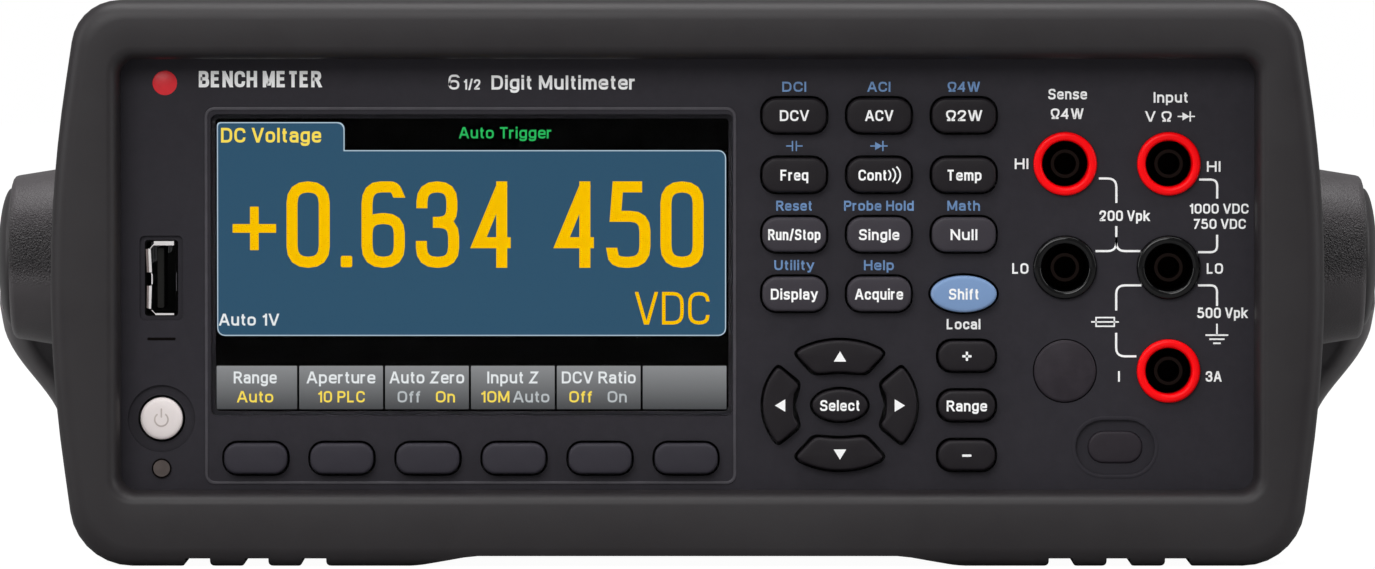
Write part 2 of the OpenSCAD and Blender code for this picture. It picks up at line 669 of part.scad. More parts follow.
module fan_frame() color([0.1, 0.1, 0.1])
  difference() {
    union() {
      difference() {
        box(fan_size, fan_size, 4, fan_x, fan_z, fan_y0, fan_y1);
        rod(fan_r, fan_x, fan_z, fan_y0 - 1, fan_y1 + 1);
      }
      rod(fan_hub_r, fan_x, fan_z, fan_y0, fan_y0 + 2);
      for (a = [45, 135])
        translate([fan_x, fan_y0 + 1, fan_z]) rotate([0, a, 0]) cube([2 * fan_r + 2, 2, 4], center = true);
      rod(fan_pin_r, fan_x, fan_z, fan_y0 + 1, fan_y0 + 12);
    }
    for (sx = [-1, 1], sz = [-1, 1])
      rod(2.1, fan_x + sx * (fan_size / 2 - fan_hole_inset), fan_z + sz * (fan_size / 2 - fan_hole_inset),
        fan_y0 - 1, fan_y1 + 1, 24);
  }

module fan_rotor() color([0.15, 0.15, 0.16])
  difference() {
    union() {
      rod(fan_hub_r, fan_x, fan_z, fan_y0 + 2.4, fan_y1 - 1);
      for (i = [0:fan_blades - 1])
        translate([fan_x, (fan_y0 + fan_y1) / 2 + 0.6, fan_z]) rotate([0, i * 360 / fan_blades, 0])
          translate([fan_r / 2 + 4.5, 0, 0]) rotate([38, 0, 0]) cube([fan_r - 10.4, 1.2, 11], center = true);
    }
    rod(fan_pin_r + 0.05, fan_x, fan_z, fan_y0, fan_y0 + 12.4);
  }

// ---- Handle ----

// Outer face of the arm at a distance s from the pivot
function arm_x(s) = let (u = min(1, max(0, (s - bow_start) / (bow_end - bow_start))))
  arm_x_low + (arm_x_high - arm_x_low) * 0.5 * (1 + cos(180 * u));

arm_end = grip_reach / cos(fold_angle) + 24;
arm_steps = concat([-arm_w / 2, 0], [for (i = [0:14]) bow_start + (bow_end - bow_start) * i / 14], [arm_end]);
arm_low_w = 17;

// Arm bowed inwards, as a flat-sided strip across the swing plane
module arm_bow(side)
  translate([0, hub_y, hub_z]) rotate([-fold_angle, 0, 0]) translate([0, 0, -40]) linear_extrude(80)
    polygon(concat([for (s = arm_steps) [side * arm_x(s), s]],
      [for (i = [len(arm_steps) - 1:-1:0]) [side * (arm_x(arm_steps[i]) - arm_t), arm_steps[i]]]));

// The arm's outline seen from the side, given in Y and Z
module arm_side(side) {
  low = grip_z0 - hub_z;
  rise = tan(fold_angle);
  translate([side * overall_w / 4, hub_y, hub_z]) rotate([90, 0, 90])
    linear_extrude(overall_w / 2 + 4, center = true) polygon(concat(
      arc(0, 0, arm_w / 2, 65, 245, 12),
      [[grip_reach - grip_w / 2 - 16, -(grip_reach - grip_w / 2 - 16) * rise - arm_low_w / 2 - 2],
       [grip_reach - grip_w / 2 - 4, low + 1.6], [grip_reach - grip_w / 2 + 2, low]],
      arc(grip_reach + grip_w / 2 - 6, low + 6, 6, -90, 30, 6),
      [[grip_reach + 2, -(grip_reach + 2) * rise + arm_low_w / 2 + 1]]));
}

module handle() color([0.24, 0.23, 0.24])
  difference() {
    union() {
      for (side = [-1, 1]) {
        intersection() {
          arm_bow(side);
          arm_side(side);
          grip_rounding();
        }
        hub_turn(side) polygon([[0, hub_x_in], [hub_r_in, hub_x_in], [hub_r_out, hub_x_out - 0.6],
          [hub_r_out - 0.5, hub_x_out], [0, hub_x_out]]);
      }
      intersection() {
        translate([-arm_x_low, 0, 0]) rotate([90, 0, 90]) linear_extrude(2 * arm_x_low)
          translate([grip_y, (grip_z0 + grip_z1) / 2]) polygon(round_rect(grip_w, grip_t, 2.2));
        grip_rounding();
      }
    }
    for (side = [-1, 1]) {
      hub_turn(side) square([pivot_r + pivot_fit, hub_x_out + 4]);
      hub_turn(side) translate([0, axle_end - axle_head_t - 0.3]) square([axle_head_r + 0.5, 12]);
      hub_turn(side) translate([0, hub_x_out - 0.9]) square([hub_r_out - 2.5, 12]);
    }
  }

// Rounds the lower outer corners where the arms turn into the grip
module grip_rounding()
  slab(hub_y - 60, grip_y + 60) polygon(concat(
    [[-arm_x_low - 12, overall_h]],
    [[-arm_x_low - 12, grip_z0 + 20], [-arm_x_low - 0.2, grip_z0 + 12]],
    arc(-arm_x_low + 5, grip_z0 + 5, 5, 180, 270, 5), arc(arm_x_low - 5, grip_z0 + 5, 5, 270, 360, 5),
    [[arm_x_low + 0.2, grip_z0 + 12], [arm_x_low + 12, grip_z0 + 20], [arm_x_low + 12, overall_h]]));

// Turns a profile of radius and X about the pivot's axis on one side
module hub_turn(side)
  translate([0, hub_y, hub_z]) rotate([0, side * 90, 0]) rotate_extrude($fn = 72) children();

module hub_caps() color([0.26, 0.25, 0.26])
  for (side = [-1, 1])
    hub_turn(side) polygon(concat([[0, hub_x_out - 0.8], [hub_r_out - 2.6, hub_x_out - 0.8]],
      [for (i = [0:8]) let (a = i * 11.25)
        [(hub_r_out - 2.6) * cos(a), hub_x_out + 0.6 + (cap_h - 0.6) * sin(a)]]));

module pivot_bosses() color([0.3, 0.3, 0.31])
  for (side = [-1, 1])
    hub_turn(side) polygon([[0, right], [hub_r_in + 0.4, right], [hub_r_in, right + boss_t],
      [pivot_r, right + boss_t], [pivot_r, axle_end - axle_head_t], [axle_head_r, axle_end - axle_head_t],
      [axle_head_r, axle_end], [0, axle_end]]);

// ---- Fasteners ----

module screws() color([0.82, 0.82, 0.8]) {
  for (p = rear_screws) {
    rod(3, p[0], p[1], y_rear + 0.02, y_rear + 1.6, 32);
    rod(screw_r, p[0], p[1], y_rear - 5, y_rear + 1, 32);
  }
  rod(4, ground_post[0], ground_post[1], y_rear + 0.02, y_rear + 2.6, 32);
  rod(screw_r + 0.3, ground_post[0], ground_post[1], y_rear - 6, y_rear + 2, 32);
  for (p = board_posts) translate([p[0], p[1], main_z + board_t]) {
    translate([0, 0, 0.02]) cylinder(h = 1.8, r = 2.8, $fn = 32);
    translate([0, 0, -7]) cylinder(h = 8, r = screw_r, $fn = 32);
  }
}

function_names = ["key_dcv", "key_acv", "key_ohms", "key_freq", "key_cont", "key_temp", "key_run",
  "key_single", "key_null", "key_display", "key_acquire"];
range_names = ["key_range_up", "key_range", "key_range_down"];

front_bezel();
display_window();
lcd_module();
keypad_mat();
front_board();
front_bumper();
rear_bumper();
case_sleeve();
chassis_tray();
rear_panel();
main_board();
jack_shells_red();
jack_shells_black();
jack_contacts();
jack_block();
usb_host_shell();
usb_host_tongue();
power_led_lens();
blank_plugs();
mains_inlet();
inlet_pins();
fuse_drawer();
usb_device_port();
lan_port();
bnc_jacks();
fan_frame();
fan_rotor();
power_module();
shield_can();
handle();
hub_caps();
pivot_bosses();
screws();
power_button();
for (k = [0:5]) softkey(k);
for (k = [0:10]) function_key(k);
shift_key_cap();  // key_shift
for (k = [0:2]) range_key(k);
for (w = ["up", "down", "left", "right", "select"]) nav_key(w);
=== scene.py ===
import math

import bmesh
import bpy
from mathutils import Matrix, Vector


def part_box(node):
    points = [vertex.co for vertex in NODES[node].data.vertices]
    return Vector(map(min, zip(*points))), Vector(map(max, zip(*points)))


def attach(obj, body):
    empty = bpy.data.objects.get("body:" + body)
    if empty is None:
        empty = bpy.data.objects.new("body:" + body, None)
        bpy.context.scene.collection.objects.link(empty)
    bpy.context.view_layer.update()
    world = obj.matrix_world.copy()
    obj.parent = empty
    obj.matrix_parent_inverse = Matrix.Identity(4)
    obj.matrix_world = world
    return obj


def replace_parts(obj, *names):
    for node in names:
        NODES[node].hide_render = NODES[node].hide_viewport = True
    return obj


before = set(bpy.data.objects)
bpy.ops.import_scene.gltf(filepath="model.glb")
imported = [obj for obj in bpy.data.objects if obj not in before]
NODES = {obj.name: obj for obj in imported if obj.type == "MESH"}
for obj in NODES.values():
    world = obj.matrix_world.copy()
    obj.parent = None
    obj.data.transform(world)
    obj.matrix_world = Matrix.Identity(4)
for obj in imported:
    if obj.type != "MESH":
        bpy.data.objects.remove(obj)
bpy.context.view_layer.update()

MM = 0.001

# ---------------------------------------------------------------- places taken from the frame, in mm


def mm_box(node):
    """Lowest and highest corner of a CAD node in millimetres."""
    low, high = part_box(node)
    return low / MM, high / MM


bumper_lo, bumper_hi = mm_box("front_bumper")
Y_BACK = mm_box("rear_bumper")[1].y
bezel_lo, bezel_hi = mm_box("front_bezel")
window_lo, window_hi = mm_box("display_window")
Y_REAR = mm_box("rear_panel")[1].y

Y_FRONT = bumper_lo.y
Y_PANEL = bezel_lo.y
Z_MID = (bezel_lo.z + bezel_hi.z) / 2
TOP = bumper_hi.z
CASE_W = bezel_hi.x - bezel_lo.x
CASE_H = bezel_hi.z - bezel_lo.z
KEY_FLANGE = 0.9
PRINT = 0.05
LABEL_PROUD = 0.02


def centre(node):
    """Middle of a CAD node's box in millimetres."""
    low, high = mm_box(node)
    return (low + high) / 2


# ---------------------------------------------------------------- node groups and materials


def new_group(name, inputs, outputs):
    """A shader node group with float, colour or vector sockets given as (name, kind, default)."""
    kinds = {"value": "NodeSocketFloat", "colour": "NodeSocketColor", "vector": "NodeSocketVector"}
    tree = bpy.data.node_groups.new(name, "ShaderNodeTree")
    for direction, sockets in (("INPUT", inputs), ("OUTPUT", outputs)):
        for label, kind, default in sockets:
            made = tree.interface.new_socket(label, in_out=direction, socket_type=kinds[kind])
            if default is not None:
                made.default_value = default
    return tree, tree.nodes.new("NodeGroupInput"), tree.nodes.new("NodeGroupOutput")


def node(tree, kind, values=None, **settings):
    """A new node with its settings and plain input values."""
    made = tree.nodes.new(kind)
    for key, value in settings.items():
        setattr(made, key, value)
    for key, value in (values or {}).items():
        made.inputs[key].default_value = value
    return made


def object_noise(tree, scale_socket, detail, roughness=0.55):
    """Noise over the object's own coordinates, its scale driven by a group input."""
    where = node(tree, "ShaderNodeTexCoord")
    noise = node(tree, "ShaderNodeTexNoise", {"Detail": detail, "Roughness": roughness})
    tree.links.new(where.outputs["Object"], noise.inputs["Vector"])
    tree.links.new(scale_socket, noise.inputs["Scale"])
    return noise


def remap(tree, source, low, high, to_low, to_high):
    """Clamped map of a value from one range to another."""
    made = node(tree, "ShaderNodeMapRange", {"From Min": low, "From Max": high,
                                             "To Min": to_low, "To Max": to_high})
    tree.links.new(source, made.inputs["Value"])
    return made.outputs["Result"]


def math_node(tree, operation, first, second):
    """Two values, sockets or numbers, put through one maths operation."""
    made = node(tree, "ShaderNodeMath", operation=operation)
    for slot, value in enumerate((first, second)):
        if isinstance(value, (int, float)):
            made.inputs[slot].default_value = value
        else:
            tree.links.new(value, made.inputs[slot])
    return made.outputs["Value"]


def build_mottle():
    """Slow colour variation of a moulding or a coat of paint."""
    tree, ins, outs = new_group("colour_mottle", [("Colour", "colour", None), ("Scale", "value", 60.0),
                                                  ("Amount", "value", 0.1)], [("Colour", "colour", None)])
    noise = object_noise(tree, ins.outputs["Scale"], 4.0)
    swing = math_node(tree, "MULTIPLY", math_node(tree, "SUBTRACT", noise.outputs["Fac"], 0.5),
                      ins.outputs["Amount"])
    factor = math_node(tree, "ADD", math_node(tree, "MULTIPLY", swing, 2.0), 1.0)
    mixed = node(tree, "ShaderNodeVectorMath", operation="SCALE")
    tree.links.new(ins.outputs["Colour"], mixed.inputs[0])
    tree.links.new(factor, mixed.inputs["Scale"])
    tree.links.new(mixed.outputs["Vector"], outs.inputs["Colour"])
    return tree


def build_grain():
    """Moulded grain: small cells and finer noise as a bump, and the same height as a mask."""
    tree, ins, outs = new_group("moulded_grain", [("Scale", "value", 1500.0), ("Strength", "value", 0.2),
                                                  ("Depth", "value", 0.00005)],
                                [("Normal", "vector", None), ("Height", "value", None)])
    noise = object_noise(tree, ins.outputs["Scale"], 3.0, 0.6)
    where = node(tree, "ShaderNodeTexCoord")
    cells = node(tree, "ShaderNodeTexVoronoi", feature="SMOOTH_F1")
    tree.links.new(where.outputs["Object"], cells.inputs["Vector"])
    tree.links.new(ins.outputs["Scale"], cells.inputs["Scale"])
    height = math_node(tree, "ADD", math_node(tree, "MULTIPLY", noise.outputs["Fac"], 0.6),
                       math_node(tree, "MULTIPLY", cells.outputs["Distance"], 0.4))
    bump = node(tree, "ShaderNodeBump")
    tree.links.new(height, bump.inputs["Height"])
    tree.links.new(ins.outputs["Strength"], bump.inputs["Strength"])
    tree.links.new(ins.outputs["Depth"], bump.inputs["Distance"])
    tree.links.new(bump.outputs["Normal"], outs.inputs["Normal"])
    tree.links.new(height, outs.inputs["Height"])
    return tree


def build_wear():
    """Edges rubbed by hands and bags: a mask from convex edges broken up by noise."""
    tree, ins, outs = new_group("edge_wear", [("Scale", "value", 300.0), ("Amount", "value", 0.5)],
                                [("Mask", "value", None)])
    shape = node(tree, "ShaderNodeNewGeometry")
    edges = remap(tree, shape.outputs["Pointiness"], 0.51, 0.56, 0.0, 1.0)
    noise = object_noise(tree, ins.outputs["Scale"], 5.0)
    spots = remap(tree, noise.outputs["Fac"], 0.42, 0.6, 0.25, 1.0)
    mask = math_node(tree, "MULTIPLY", math_node(tree, "MULTIPLY", edges, spots), ins.outputs["Amount"])
    tree.links.new(mask, outs.inputs["Mask"])
    return tree


def build_dust():
    """Light dust and fingerprints: a soft mask that lifts colour and roughness."""
    tree, ins, outs = new_group("handling_dust", [("Scale", "value", 40.0), ("Amount", "value", 0.3)],
                                [("Mask", "value", None)])
    broad = object_noise(tree, ins.outputs["Scale"], 6.0, 0.7)
    patches = remap(tree, broad.outputs["Fac"], 0.35, 0.7, 0.0, 1.0)
    tree.links.new(math_node(tree, "MULTIPLY", patches, ins.outputs["Amount"]), outs.inputs["Mask"])
    return tree


MOTTLE = build_mottle()
GRAIN = build_grain()
WEAR = build_wear()
DUST = build_dust()
DUST_LIFT = 0.04


def place_group(tree, group, **values):
    """A group node in a material with its own values."""
    made = node(tree, "ShaderNodeGroup", node_tree=group)
    for key, value in values.items():
        made.inputs[key.capitalize()].default_value = value
    return made


def new_material(name, rough=0.5, **shader_values):
    """A material with its node tree and its shader, whose plain values are set here."""
    made = bpy.data.materials.new(name)
    made.use_nodes = True
    shader = made.node_tree.nodes["Principled BSDF"]
    shader.inputs["Roughness"].default_value = rough
    for key, value in shader_values.items():
        shader.inputs[key.replace("_", " ")].default_value = value
    return made, made.node_tree, shader


def surface(name, colour, rough, mottle=(60, 0.1), grain=(1500, 0.15, 0.00005), wear=(300, 0.3),
            wear_colour=None, dust=(40, 0.2), metal=0.0, glint_band=None, **shader_values):
    """A moulded, painted or metal finish with mottle, grain, worn edges and dust.

    The band gives four heights between which the grain and the colour mottle rise and die away; the strong
    mottle in it is painted glints where light catches the grain."""
    made, tree, shader = new_material(name, Metallic=metal, **shader_values)
    base = place_group(tree, MOTTLE, colour=(*colour, 1), scale=mottle[0], amount=mottle[1])
    worn = place_group(tree, WEAR, scale=wear[0], amount=wear[1])
    dusty = place_group(tree, DUST, scale=dust[0], amount=dust[1])
    rubbed = wear_colour or tuple(min(1, c * 1.8 + 0.008) for c in colour)
    edge_mix = node(tree, "ShaderNodeMix", data_type="RGBA")
    edge_mix.inputs["B"].default_value = (*rubbed, 1)
    tree.links.new(worn.outputs["Mask"], edge_mix.inputs["Factor"])
    tree.links.new(base.outputs["Colour"], edge_mix.inputs["A"])
    dust_mix = node(tree, "ShaderNodeMix", data_type="RGBA")
    dust_mix.inputs["B"].default_value = (*(c + (0.3 - c) * DUST_LIFT for c in colour), 1)
    tree.links.new(dusty.outputs["Mask"], dust_mix.inputs["Factor"])
    tree.links.new(edge_mix.outputs["Result"], dust_mix.inputs["A"])
    tree.links.new(dust_mix.outputs["Result"], shader.inputs["Base Color"])
    tree.links.new(remap(tree, dusty.outputs["Mask"], 0.0, 1.0, rough, min(1, rough + 0.25)),
                   shader.inputs["Roughness"])
    bumps = place_group(tree, GRAIN, scale=grain[0], strength=grain[1], depth=grain[2])
    # painted glints: within the band the colour mottle grows strong where light catches the grain
    if glint_band:
        where = node(tree, "ShaderNodeTexCoord")
        apart = node(tree, "ShaderNodeSeparateXYZ")
        tree.links.new(where.outputs["Object"], apart.inputs["Vector"])
        rise = remap(tree, apart.outputs["Z"], glint_band[0], glint_band[1], 0.08, grain[1])
        fall = remap(tree, apart.outputs["Z"], glint_band[2], glint_band[3], 1.0, 0.12)
        tree.links.new(math_node(tree, "MULTIPLY", rise, fall), bumps.inputs["Strength"])
        tree.links.new(math_node(tree, "MULTIPLY", rise, fall), base.inputs["Amount"])
    tree.links.new(bumps.outputs["Normal"], shader.inputs["Normal"])
    return made


def glow(name, colour, strength=1.0, fade=None):
    """A lit area of the display; fade gives the colour at its lower edge and its height range."""
    made, tree, shader = new_material(name, 0.6, Base_Color=(0.0005, 0.0005, 0.0005, 1), Specular_IOR_Level=0.0,
                                      Emission_Strength=strength)
    where = node(tree, "ShaderNodeTexCoord")
    grid = node(tree, "ShaderNodeTexChecker", {"Scale": 1 / 0.0002})
    tree.links.new(where.outputs["Object"], grid.inputs["Vector"])
    low, high = fade[1:] if fade else (0.0, 1.0)
    apart = node(tree, "ShaderNodeSeparateXYZ")
    tree.links.new(where.outputs["Object"], apart.inputs["Vector"])
    blend = node(tree, "ShaderNodeMix", data_type="RGBA")
    blend.inputs["A"].default_value = (*(fade[0] if fade else colour), 1)
    blend.inputs["B"].default_value = (*colour, 1)
    tree.links.new(remap(tree, apart.outputs["Z"], low, high, 0.0, 1.0), blend.inputs["Factor"])
    cells = node(tree, "ShaderNodeMix", data_type="RGBA", blend_type="MULTIPLY")
    cells.inputs["Factor"].default_value = 0.06
    tree.links.new(blend.outputs["Result"], cells.inputs["A"])
    tree.links.new(grid.outputs["Color"], cells.inputs["B"])
    tree.links.new(cells.outputs["Result"], shader.inputs["Emission Color"])
    return made


def window_glass():
    """Clear hard-coated window with a faint smear in its gloss."""
    made, tree, shader = new_material("window_glass", Base_Color=(0.96, 0.97, 0.97, 1), Transmission_Weight=1.0,
                                      IOR=1.04)
    smear = place_group(tree, DUST, scale=30, amount=0.4)
    tree.links.new(remap(tree, smear.outputs["Mask"], 0.0, 1.0, 0.0, 0.04), shader.inputs["Roughness"])
    return made


def srgb(r, g, b):
    """Linear colour from 0 to 255 display values."""
    return tuple(((c / 255 + 0.055) / 1.055) ** 2.4 if c > 10 else c / 255 / 12.92 for c in (r, g, b))


def key_finish(name, colour, rough=0.45, grain=0.25, dust=0.25, **values):
    """The fine-grained plastic of the keys."""
    return surface(name, colour, rough, grain=(4200, grain, 0.00003), wear=(500, 0.2), dust=(90, dust),
                   Specular_IOR_Level=0.2, **values)


M = {
    "panel": surface("panel_plastic", (0.017, 0.0150, 0.0205), 0.5, mottle=(900, 0.16),
                     grain=(3800, 0.35, 0.00004), wear=(300, 0.12), dust=(35, 0.3), Specular_IOR_Level=0.2),
    "bumper": surface("bumper_rubber", (0.0085, 0.0061, 0.0077), 0.46, mottle=(30, 0.12),
                      grain=(2600, 0.3, 0.00004), wear=(200, 0.25), dust=(25, 0.4), Specular_IOR_Level=0.42),
    "sleeve": surface("sleeve_paint", (0.10, 0.10, 0.105), 0.55, mottle=(15, 0.08),
                      grain=(1800, 0.5, 0.0001), wear=(250, 0.06), wear_colour=(0.22, 0.22, 0.23)),
    "zinc": surface("zinc_sheet", (0.55, 0.56, 0.57), 0.38, mottle=(220, 0.12), metal=1.0,
                    grain=(400, 0.15, 0.00005), wear=(300, 0.2)),
    "key_dark": key_finish("key_dark", (0.0085, 0.0065, 0.0088)),
    "key_grey": key_finish("key_grey", (0.037, 0.0325, 0.041)),
    "softkey": key_finish("softkey_plastic", (0.026, 0.0235, 0.032), 0.5, 0.3),
    "key_blue": key_finish("key_blue", (0.185, 0.30, 0.52), 0.42, 0.2, 0.2, wear_colour=(0.4, 0.5, 0.7)),
    "jack_red": surface("jack_red", (1.0, 0.0, 0.003), 0.3, mottle=(200, 0.04),
                        grain=(900, 0.05, 0.00003), wear=(600, 0.1), wear_colour=(0.9, 0.02, 0.02),
                        dust=(60, 0.02), Specular_IOR_Level=0.15),
    "jack_black": surface("jack_black", (0.0012, 0.0012, 0.0015), 0.1, dust=(60, 0.05),
                          grain=(900, 0.06, 0.00003), wear=(600, 0.1), Specular_IOR_Level=0.3),
    "jack_lining": surface("jack_lining", (0.002, 0.001, 0.001), 0.6, grain=(900, 0.1, 0.00003),
                           wear=(600, 0.0), dust=(60, 0.0), Specular_IOR_Level=0.05),
    # painted shade: the metal contact tubes deep in the jacks, coloured near black
    "contact": surface("contact_metal_shaded", (0.012, 0.008, 0.007), 0.5, metal=1.0, grain=(1200, 0.1, 0.00003),
                       wear=(600, 0.0), dust=(60, 0.0)),
    # painted highlight: a lighter, reddish ring for the lit front edge of the contact tubes
    "contact_rim_lit": surface("contact_rim_lit", (0.055, 0.026, 0.024), 0.5, grain=(1200, 0.1, 0.00003),
                           Specular_IOR_Level=0.1),
    # painted shade: the USB socket's nickel shell, coloured near black because it sits in shadow
    "socket_shaded": surface("socket_shaded", (0.001, 0.001, 0.001), 0.6, wear=(600, 0.0), dust=(60, 0.0),
                           Specular_IOR_Level=0.05),
    "tongue": surface("socket_tongue", (0.011, 0.011, 0.010), 0.6, wear=(600, 0.1), dust=(60, 0.1),
                      Specular_IOR_Level=0.1),
    "inner": surface("inner_plastic", (0.012, 0.012, 0.013), 0.6, grain=(1200, 0.2, 0.00005)),
    "socket_metal": surface("socket_metal", (0.95, 0.92, 0.91), 0.32, mottle=(400, 0.1), metal=1.0,
                            grain=(700, 0.1, 0.00003), wear=(800, 0.2)),
    # painted shade: a darker copy of the socket metal for the USB shell's folded edges
    "socket_fold_shaded": surface("socket_fold_shaded", (0.20, 0.165, 0.16), 0.4, metal=1.0, mottle=(900, 0.3),
                           grain=(1500, 0.2, 0.00004)),
    "led": surface("led_lens", (0.07, 0.055, 0.05), 0.35, mottle=(600, 0.15), grain=(1500, 0.2, 0.00004),
                   Specular_IOR_Level=0.3),
    "blank": surface("blank_plastic", (0.019, 0.0148, 0.020), 0.5, mottle=(900, 0.16),
                     grain=(3000, 0.3, 0.00004), Specular_IOR_Level=0.2),
    "inlet": surface("inlet_plastic", (0.012, 0.012, 0.014), 0.42, grain=(1500, 0.25, 0.00005)),
    "fan": surface("fan_plastic", (0.018, 0.018, 0.019), 0.5, grain=(1200, 0.2, 0.00005)),
    "module": surface("module_plastic", (0.05, 0.05, 0.055), 0.6),
    "board": surface("circuit_board", (0.01, 0.09, 0.035), 0.4, mottle=(300, 0.2)),
    "mat": surface("mat_rubber", (0.22, 0.22, 0.22), 0.7),
    # painted light: the arms and grip take a lighter copy of the hub plastic for the light on their outer sides
    "handle": surface("handle_plastic", (0.115, 0.106, 0.111), 0.42, mottle=(40, 0.1),
                      grain=(2600, 0.3, 0.00006), wear=(260, 0.3), dust=(60, 0.3), Specular_IOR_Level=0.4),
    "cap": surface("cap_plastic", (0.022, 0.020, 0.0215), 0.4, mottle=(50, 0.08),
                   grain=(2600, 0.2, 0.00005), wear=(300, 0.3), Specular_IOR_Level=0.35),
    "boss": surface("boss_plastic", (0.03, 0.028, 0.03), 0.5, grain=(1800, 0.4, 0.00006)),
    "screw": surface("screw_steel", (0.5, 0.5, 0.49), 0.3, metal=1.0, grain=(900, 0.1, 0.00003)),
    "button": surface("button_white", (0.78, 0.71, 0.70), 0.45, mottle=(300, 0.05),
                      grain=(1500, 0.1, 0.00003), wear=(400, 0.1), wear_colour=(0.8, 0.76, 0.72)),
    "button_mark": surface("button_mark", (0.42, 0.36, 0.34), 0.5),
    "ink_white": surface("ink_white", (0.92, 0.92, 0.92), 0.5, mottle=(900, 0.08)),
    "ink_blue": surface("ink_blue", (0.13, 0.25, 0.48), 0.5, mottle=(900, 0.08)),
    "ink_red": surface("ink_red", (0.7, 0.01, 0.02), 0.4, mottle=(900, 0.08)),
    # painted highlight: lighter than the panel plastic to show light along thin edges
    "ridge": surface("ridge_highlight_plastic", (0.045, 0.042, 0.050), 0.4, grain=(3800, 0.2, 0.00003),
                     Specular_IOR_Level=0.3),
    "screen_black": surface("screen_black", (0.0005, 0.0005, 0.0006), 0.6, grain=(900, 0.02, 0.00002),
                            dust=(40, 0.0), Specular_IOR_Level=0.0),
    "glass": window_glass(),
}
for screen_colour, levels in {"blue": (50, 85, 110), "line": (180, 200, 215), "yellow": (255, 196, 0),
                              "tab": (255, 225, 90), "green": (45, 185, 95), "white": (235, 238, 240),
                              "dim": (190, 195, 198)}.items():
    M["screen_" + screen_colour] = glow("screen_" + screen_colour, srgb(*levels))

CAD_FINISH = {
    "front_bezel": "panel", "lcd_module": "screen_black", "keypad_mat": "mat", "front_board": "board",
    # the jack contacts' near-black finish is painted shade
    "case_sleeve": "sleeve", "chassis_tray": "zinc", "rear_panel": "zinc", "main_board": "board",
    # the USB host shell's near-black finish is painted shade
    "jack_contacts": "contact", "jack_block": "inner", "usb_host_shell": "socket_shaded",
    "usb_host_tongue": "inner", "mains_inlet": "inlet", "inlet_pins": "socket_metal",
    "fuse_drawer": "inlet", "usb_device_port": "socket_metal", "lan_port": "socket_metal",
    "bnc_jacks": "socket_metal", "fan_frame": "fan", "fan_rotor": "fan", "power_module": "module",
    "shield_can": "zinc", "pivot_bosses": "boss", "screws": "screw", "display_window": "glass",
    "power_led_lens": "led", "blank_plugs": "blank",
}


def finish_cad_nodes():
    """Gives each CAD node that stays in view its finish."""
    for name, key in CAD_FINISH.items():
        slots = NODES[name].material_slots
        if not slots:
            NODES[name].data.materials.append(M[key])
        for slot in slots:
            slot.material = M[key]


# ---------------------------------------------------------------- mesh helpers


def shade(mesh, angle):
    """Smooth faces, with edges kept sharp where they bend by more than an angle in degrees."""
    for face in mesh.polygons:
        face.use_smooth = True
    mesh.set_sharp_from_angle(angle=math.radians(angle))


def add_object(name, mesh, material, body, smooth=40):
    """Links a mesh given in metres, shades it and lets it ride on a body."""
    made = bpy.data.objects.new(name, mesh)
    bpy.context.scene.collection.objects.link(made)
    mesh.name = name
    mesh.materials.clear()
    mesh.materials.append(M[material])
    shade(mesh, smooth)
    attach(made, body)
    return made


def mesh_from_bmesh(shape):
    """Turns a bmesh in millimetres into a mesh in metres with outward normals."""
    bmesh.ops.recalc_face_normals(shape, faces=shape.faces)
    bmesh.ops.scale(shape, vec=(MM, MM, MM), verts=shape.verts)
    mesh = bpy.data.meshes.new("piece")
    shape.to_mesh(mesh)
    shape.free()
    return mesh


def loft(loops, cap_start=True, cap_end=True, ring=False):
    """A skin over closed loops with equal point counts; ring joins the last loop to the first."""
    shape = bmesh.new()
    rows = [[shape.verts.new(p) for p in loop] for loop in loops]
    count = len(rows[0])
    pairs = list(zip(rows, rows[1:])) + ([(rows[-1], rows[0])] if ring else [])
    for first, second in pairs:
        for i in range(count):
            j = (i + 1) % count
            shape.faces.new((first[i], first[j], second[j], second[i]))
    if not ring:
        for row, wanted in ((rows[0], cap_start), (rows[-1], cap_end)):
            if wanted:
                shape.faces.new(row)
    return mesh_from_bmesh(shape)


def arc(cx, cz, r, a0, a1, n=6):
    """Points of an arc in degrees."""
    return [(cx + r * math.cos(math.radians(a0 + (a1 - a0) * i / n)),
             cz + r * math.sin(math.radians(a0 + (a1 - a0) * i / n))) for i in range(n + 1)]


def round_rect(w, h, r, n=6, cx=0.0, cz=0.0):
    """Outline of a rectangle with round corners."""
    r = min(r, w / 2 - 0.01, h / 2 - 0.01)
    corners = ((1, 1, 0), (-1, 1, 90), (-1, -1, 180), (1, -1, 270))
    return [p for sx, sz, a in corners
            for p in arc(cx + sx * (w / 2 - r), cz + sz * (h / 2 - r), r, a, a + 90, n)]


def ellipse(a, b, n=40):
    """Outline of an ellipse."""
    return [(a * math.cos(2 * math.pi * i / n), b * math.sin(2 * math.pi * i / n)) for i in range(n)]


def inset_outline(points, amount):
    """Moves each point of a closed outline inwards along its corner's bisector."""
    area = sum(a[0] * b[1] - b[0] * a[1] for a, b in zip(points, points[1:] + points[:1]))
    sign = 1 if area > 0 else -1
    moved = []
    for before, here, after in zip(points[-1:] + points[:-1], points, points[1:] + points[:1]):
        d1 = Vector((here[0] - before[0], here[1] - before[1])).normalized()
        d2 = Vector((after[0] - here[0], after[1] - here[1])).normalized()
        normal = Vector((-(d1.y + d2.y), d1.x + d2.x)) * sign
        normal = normal.normalized() if normal.length > 1e-6 else Vector((0, 0))
        moved.append((here[0] + normal.x * amount, here[1] + normal.y * amount))
    return moved


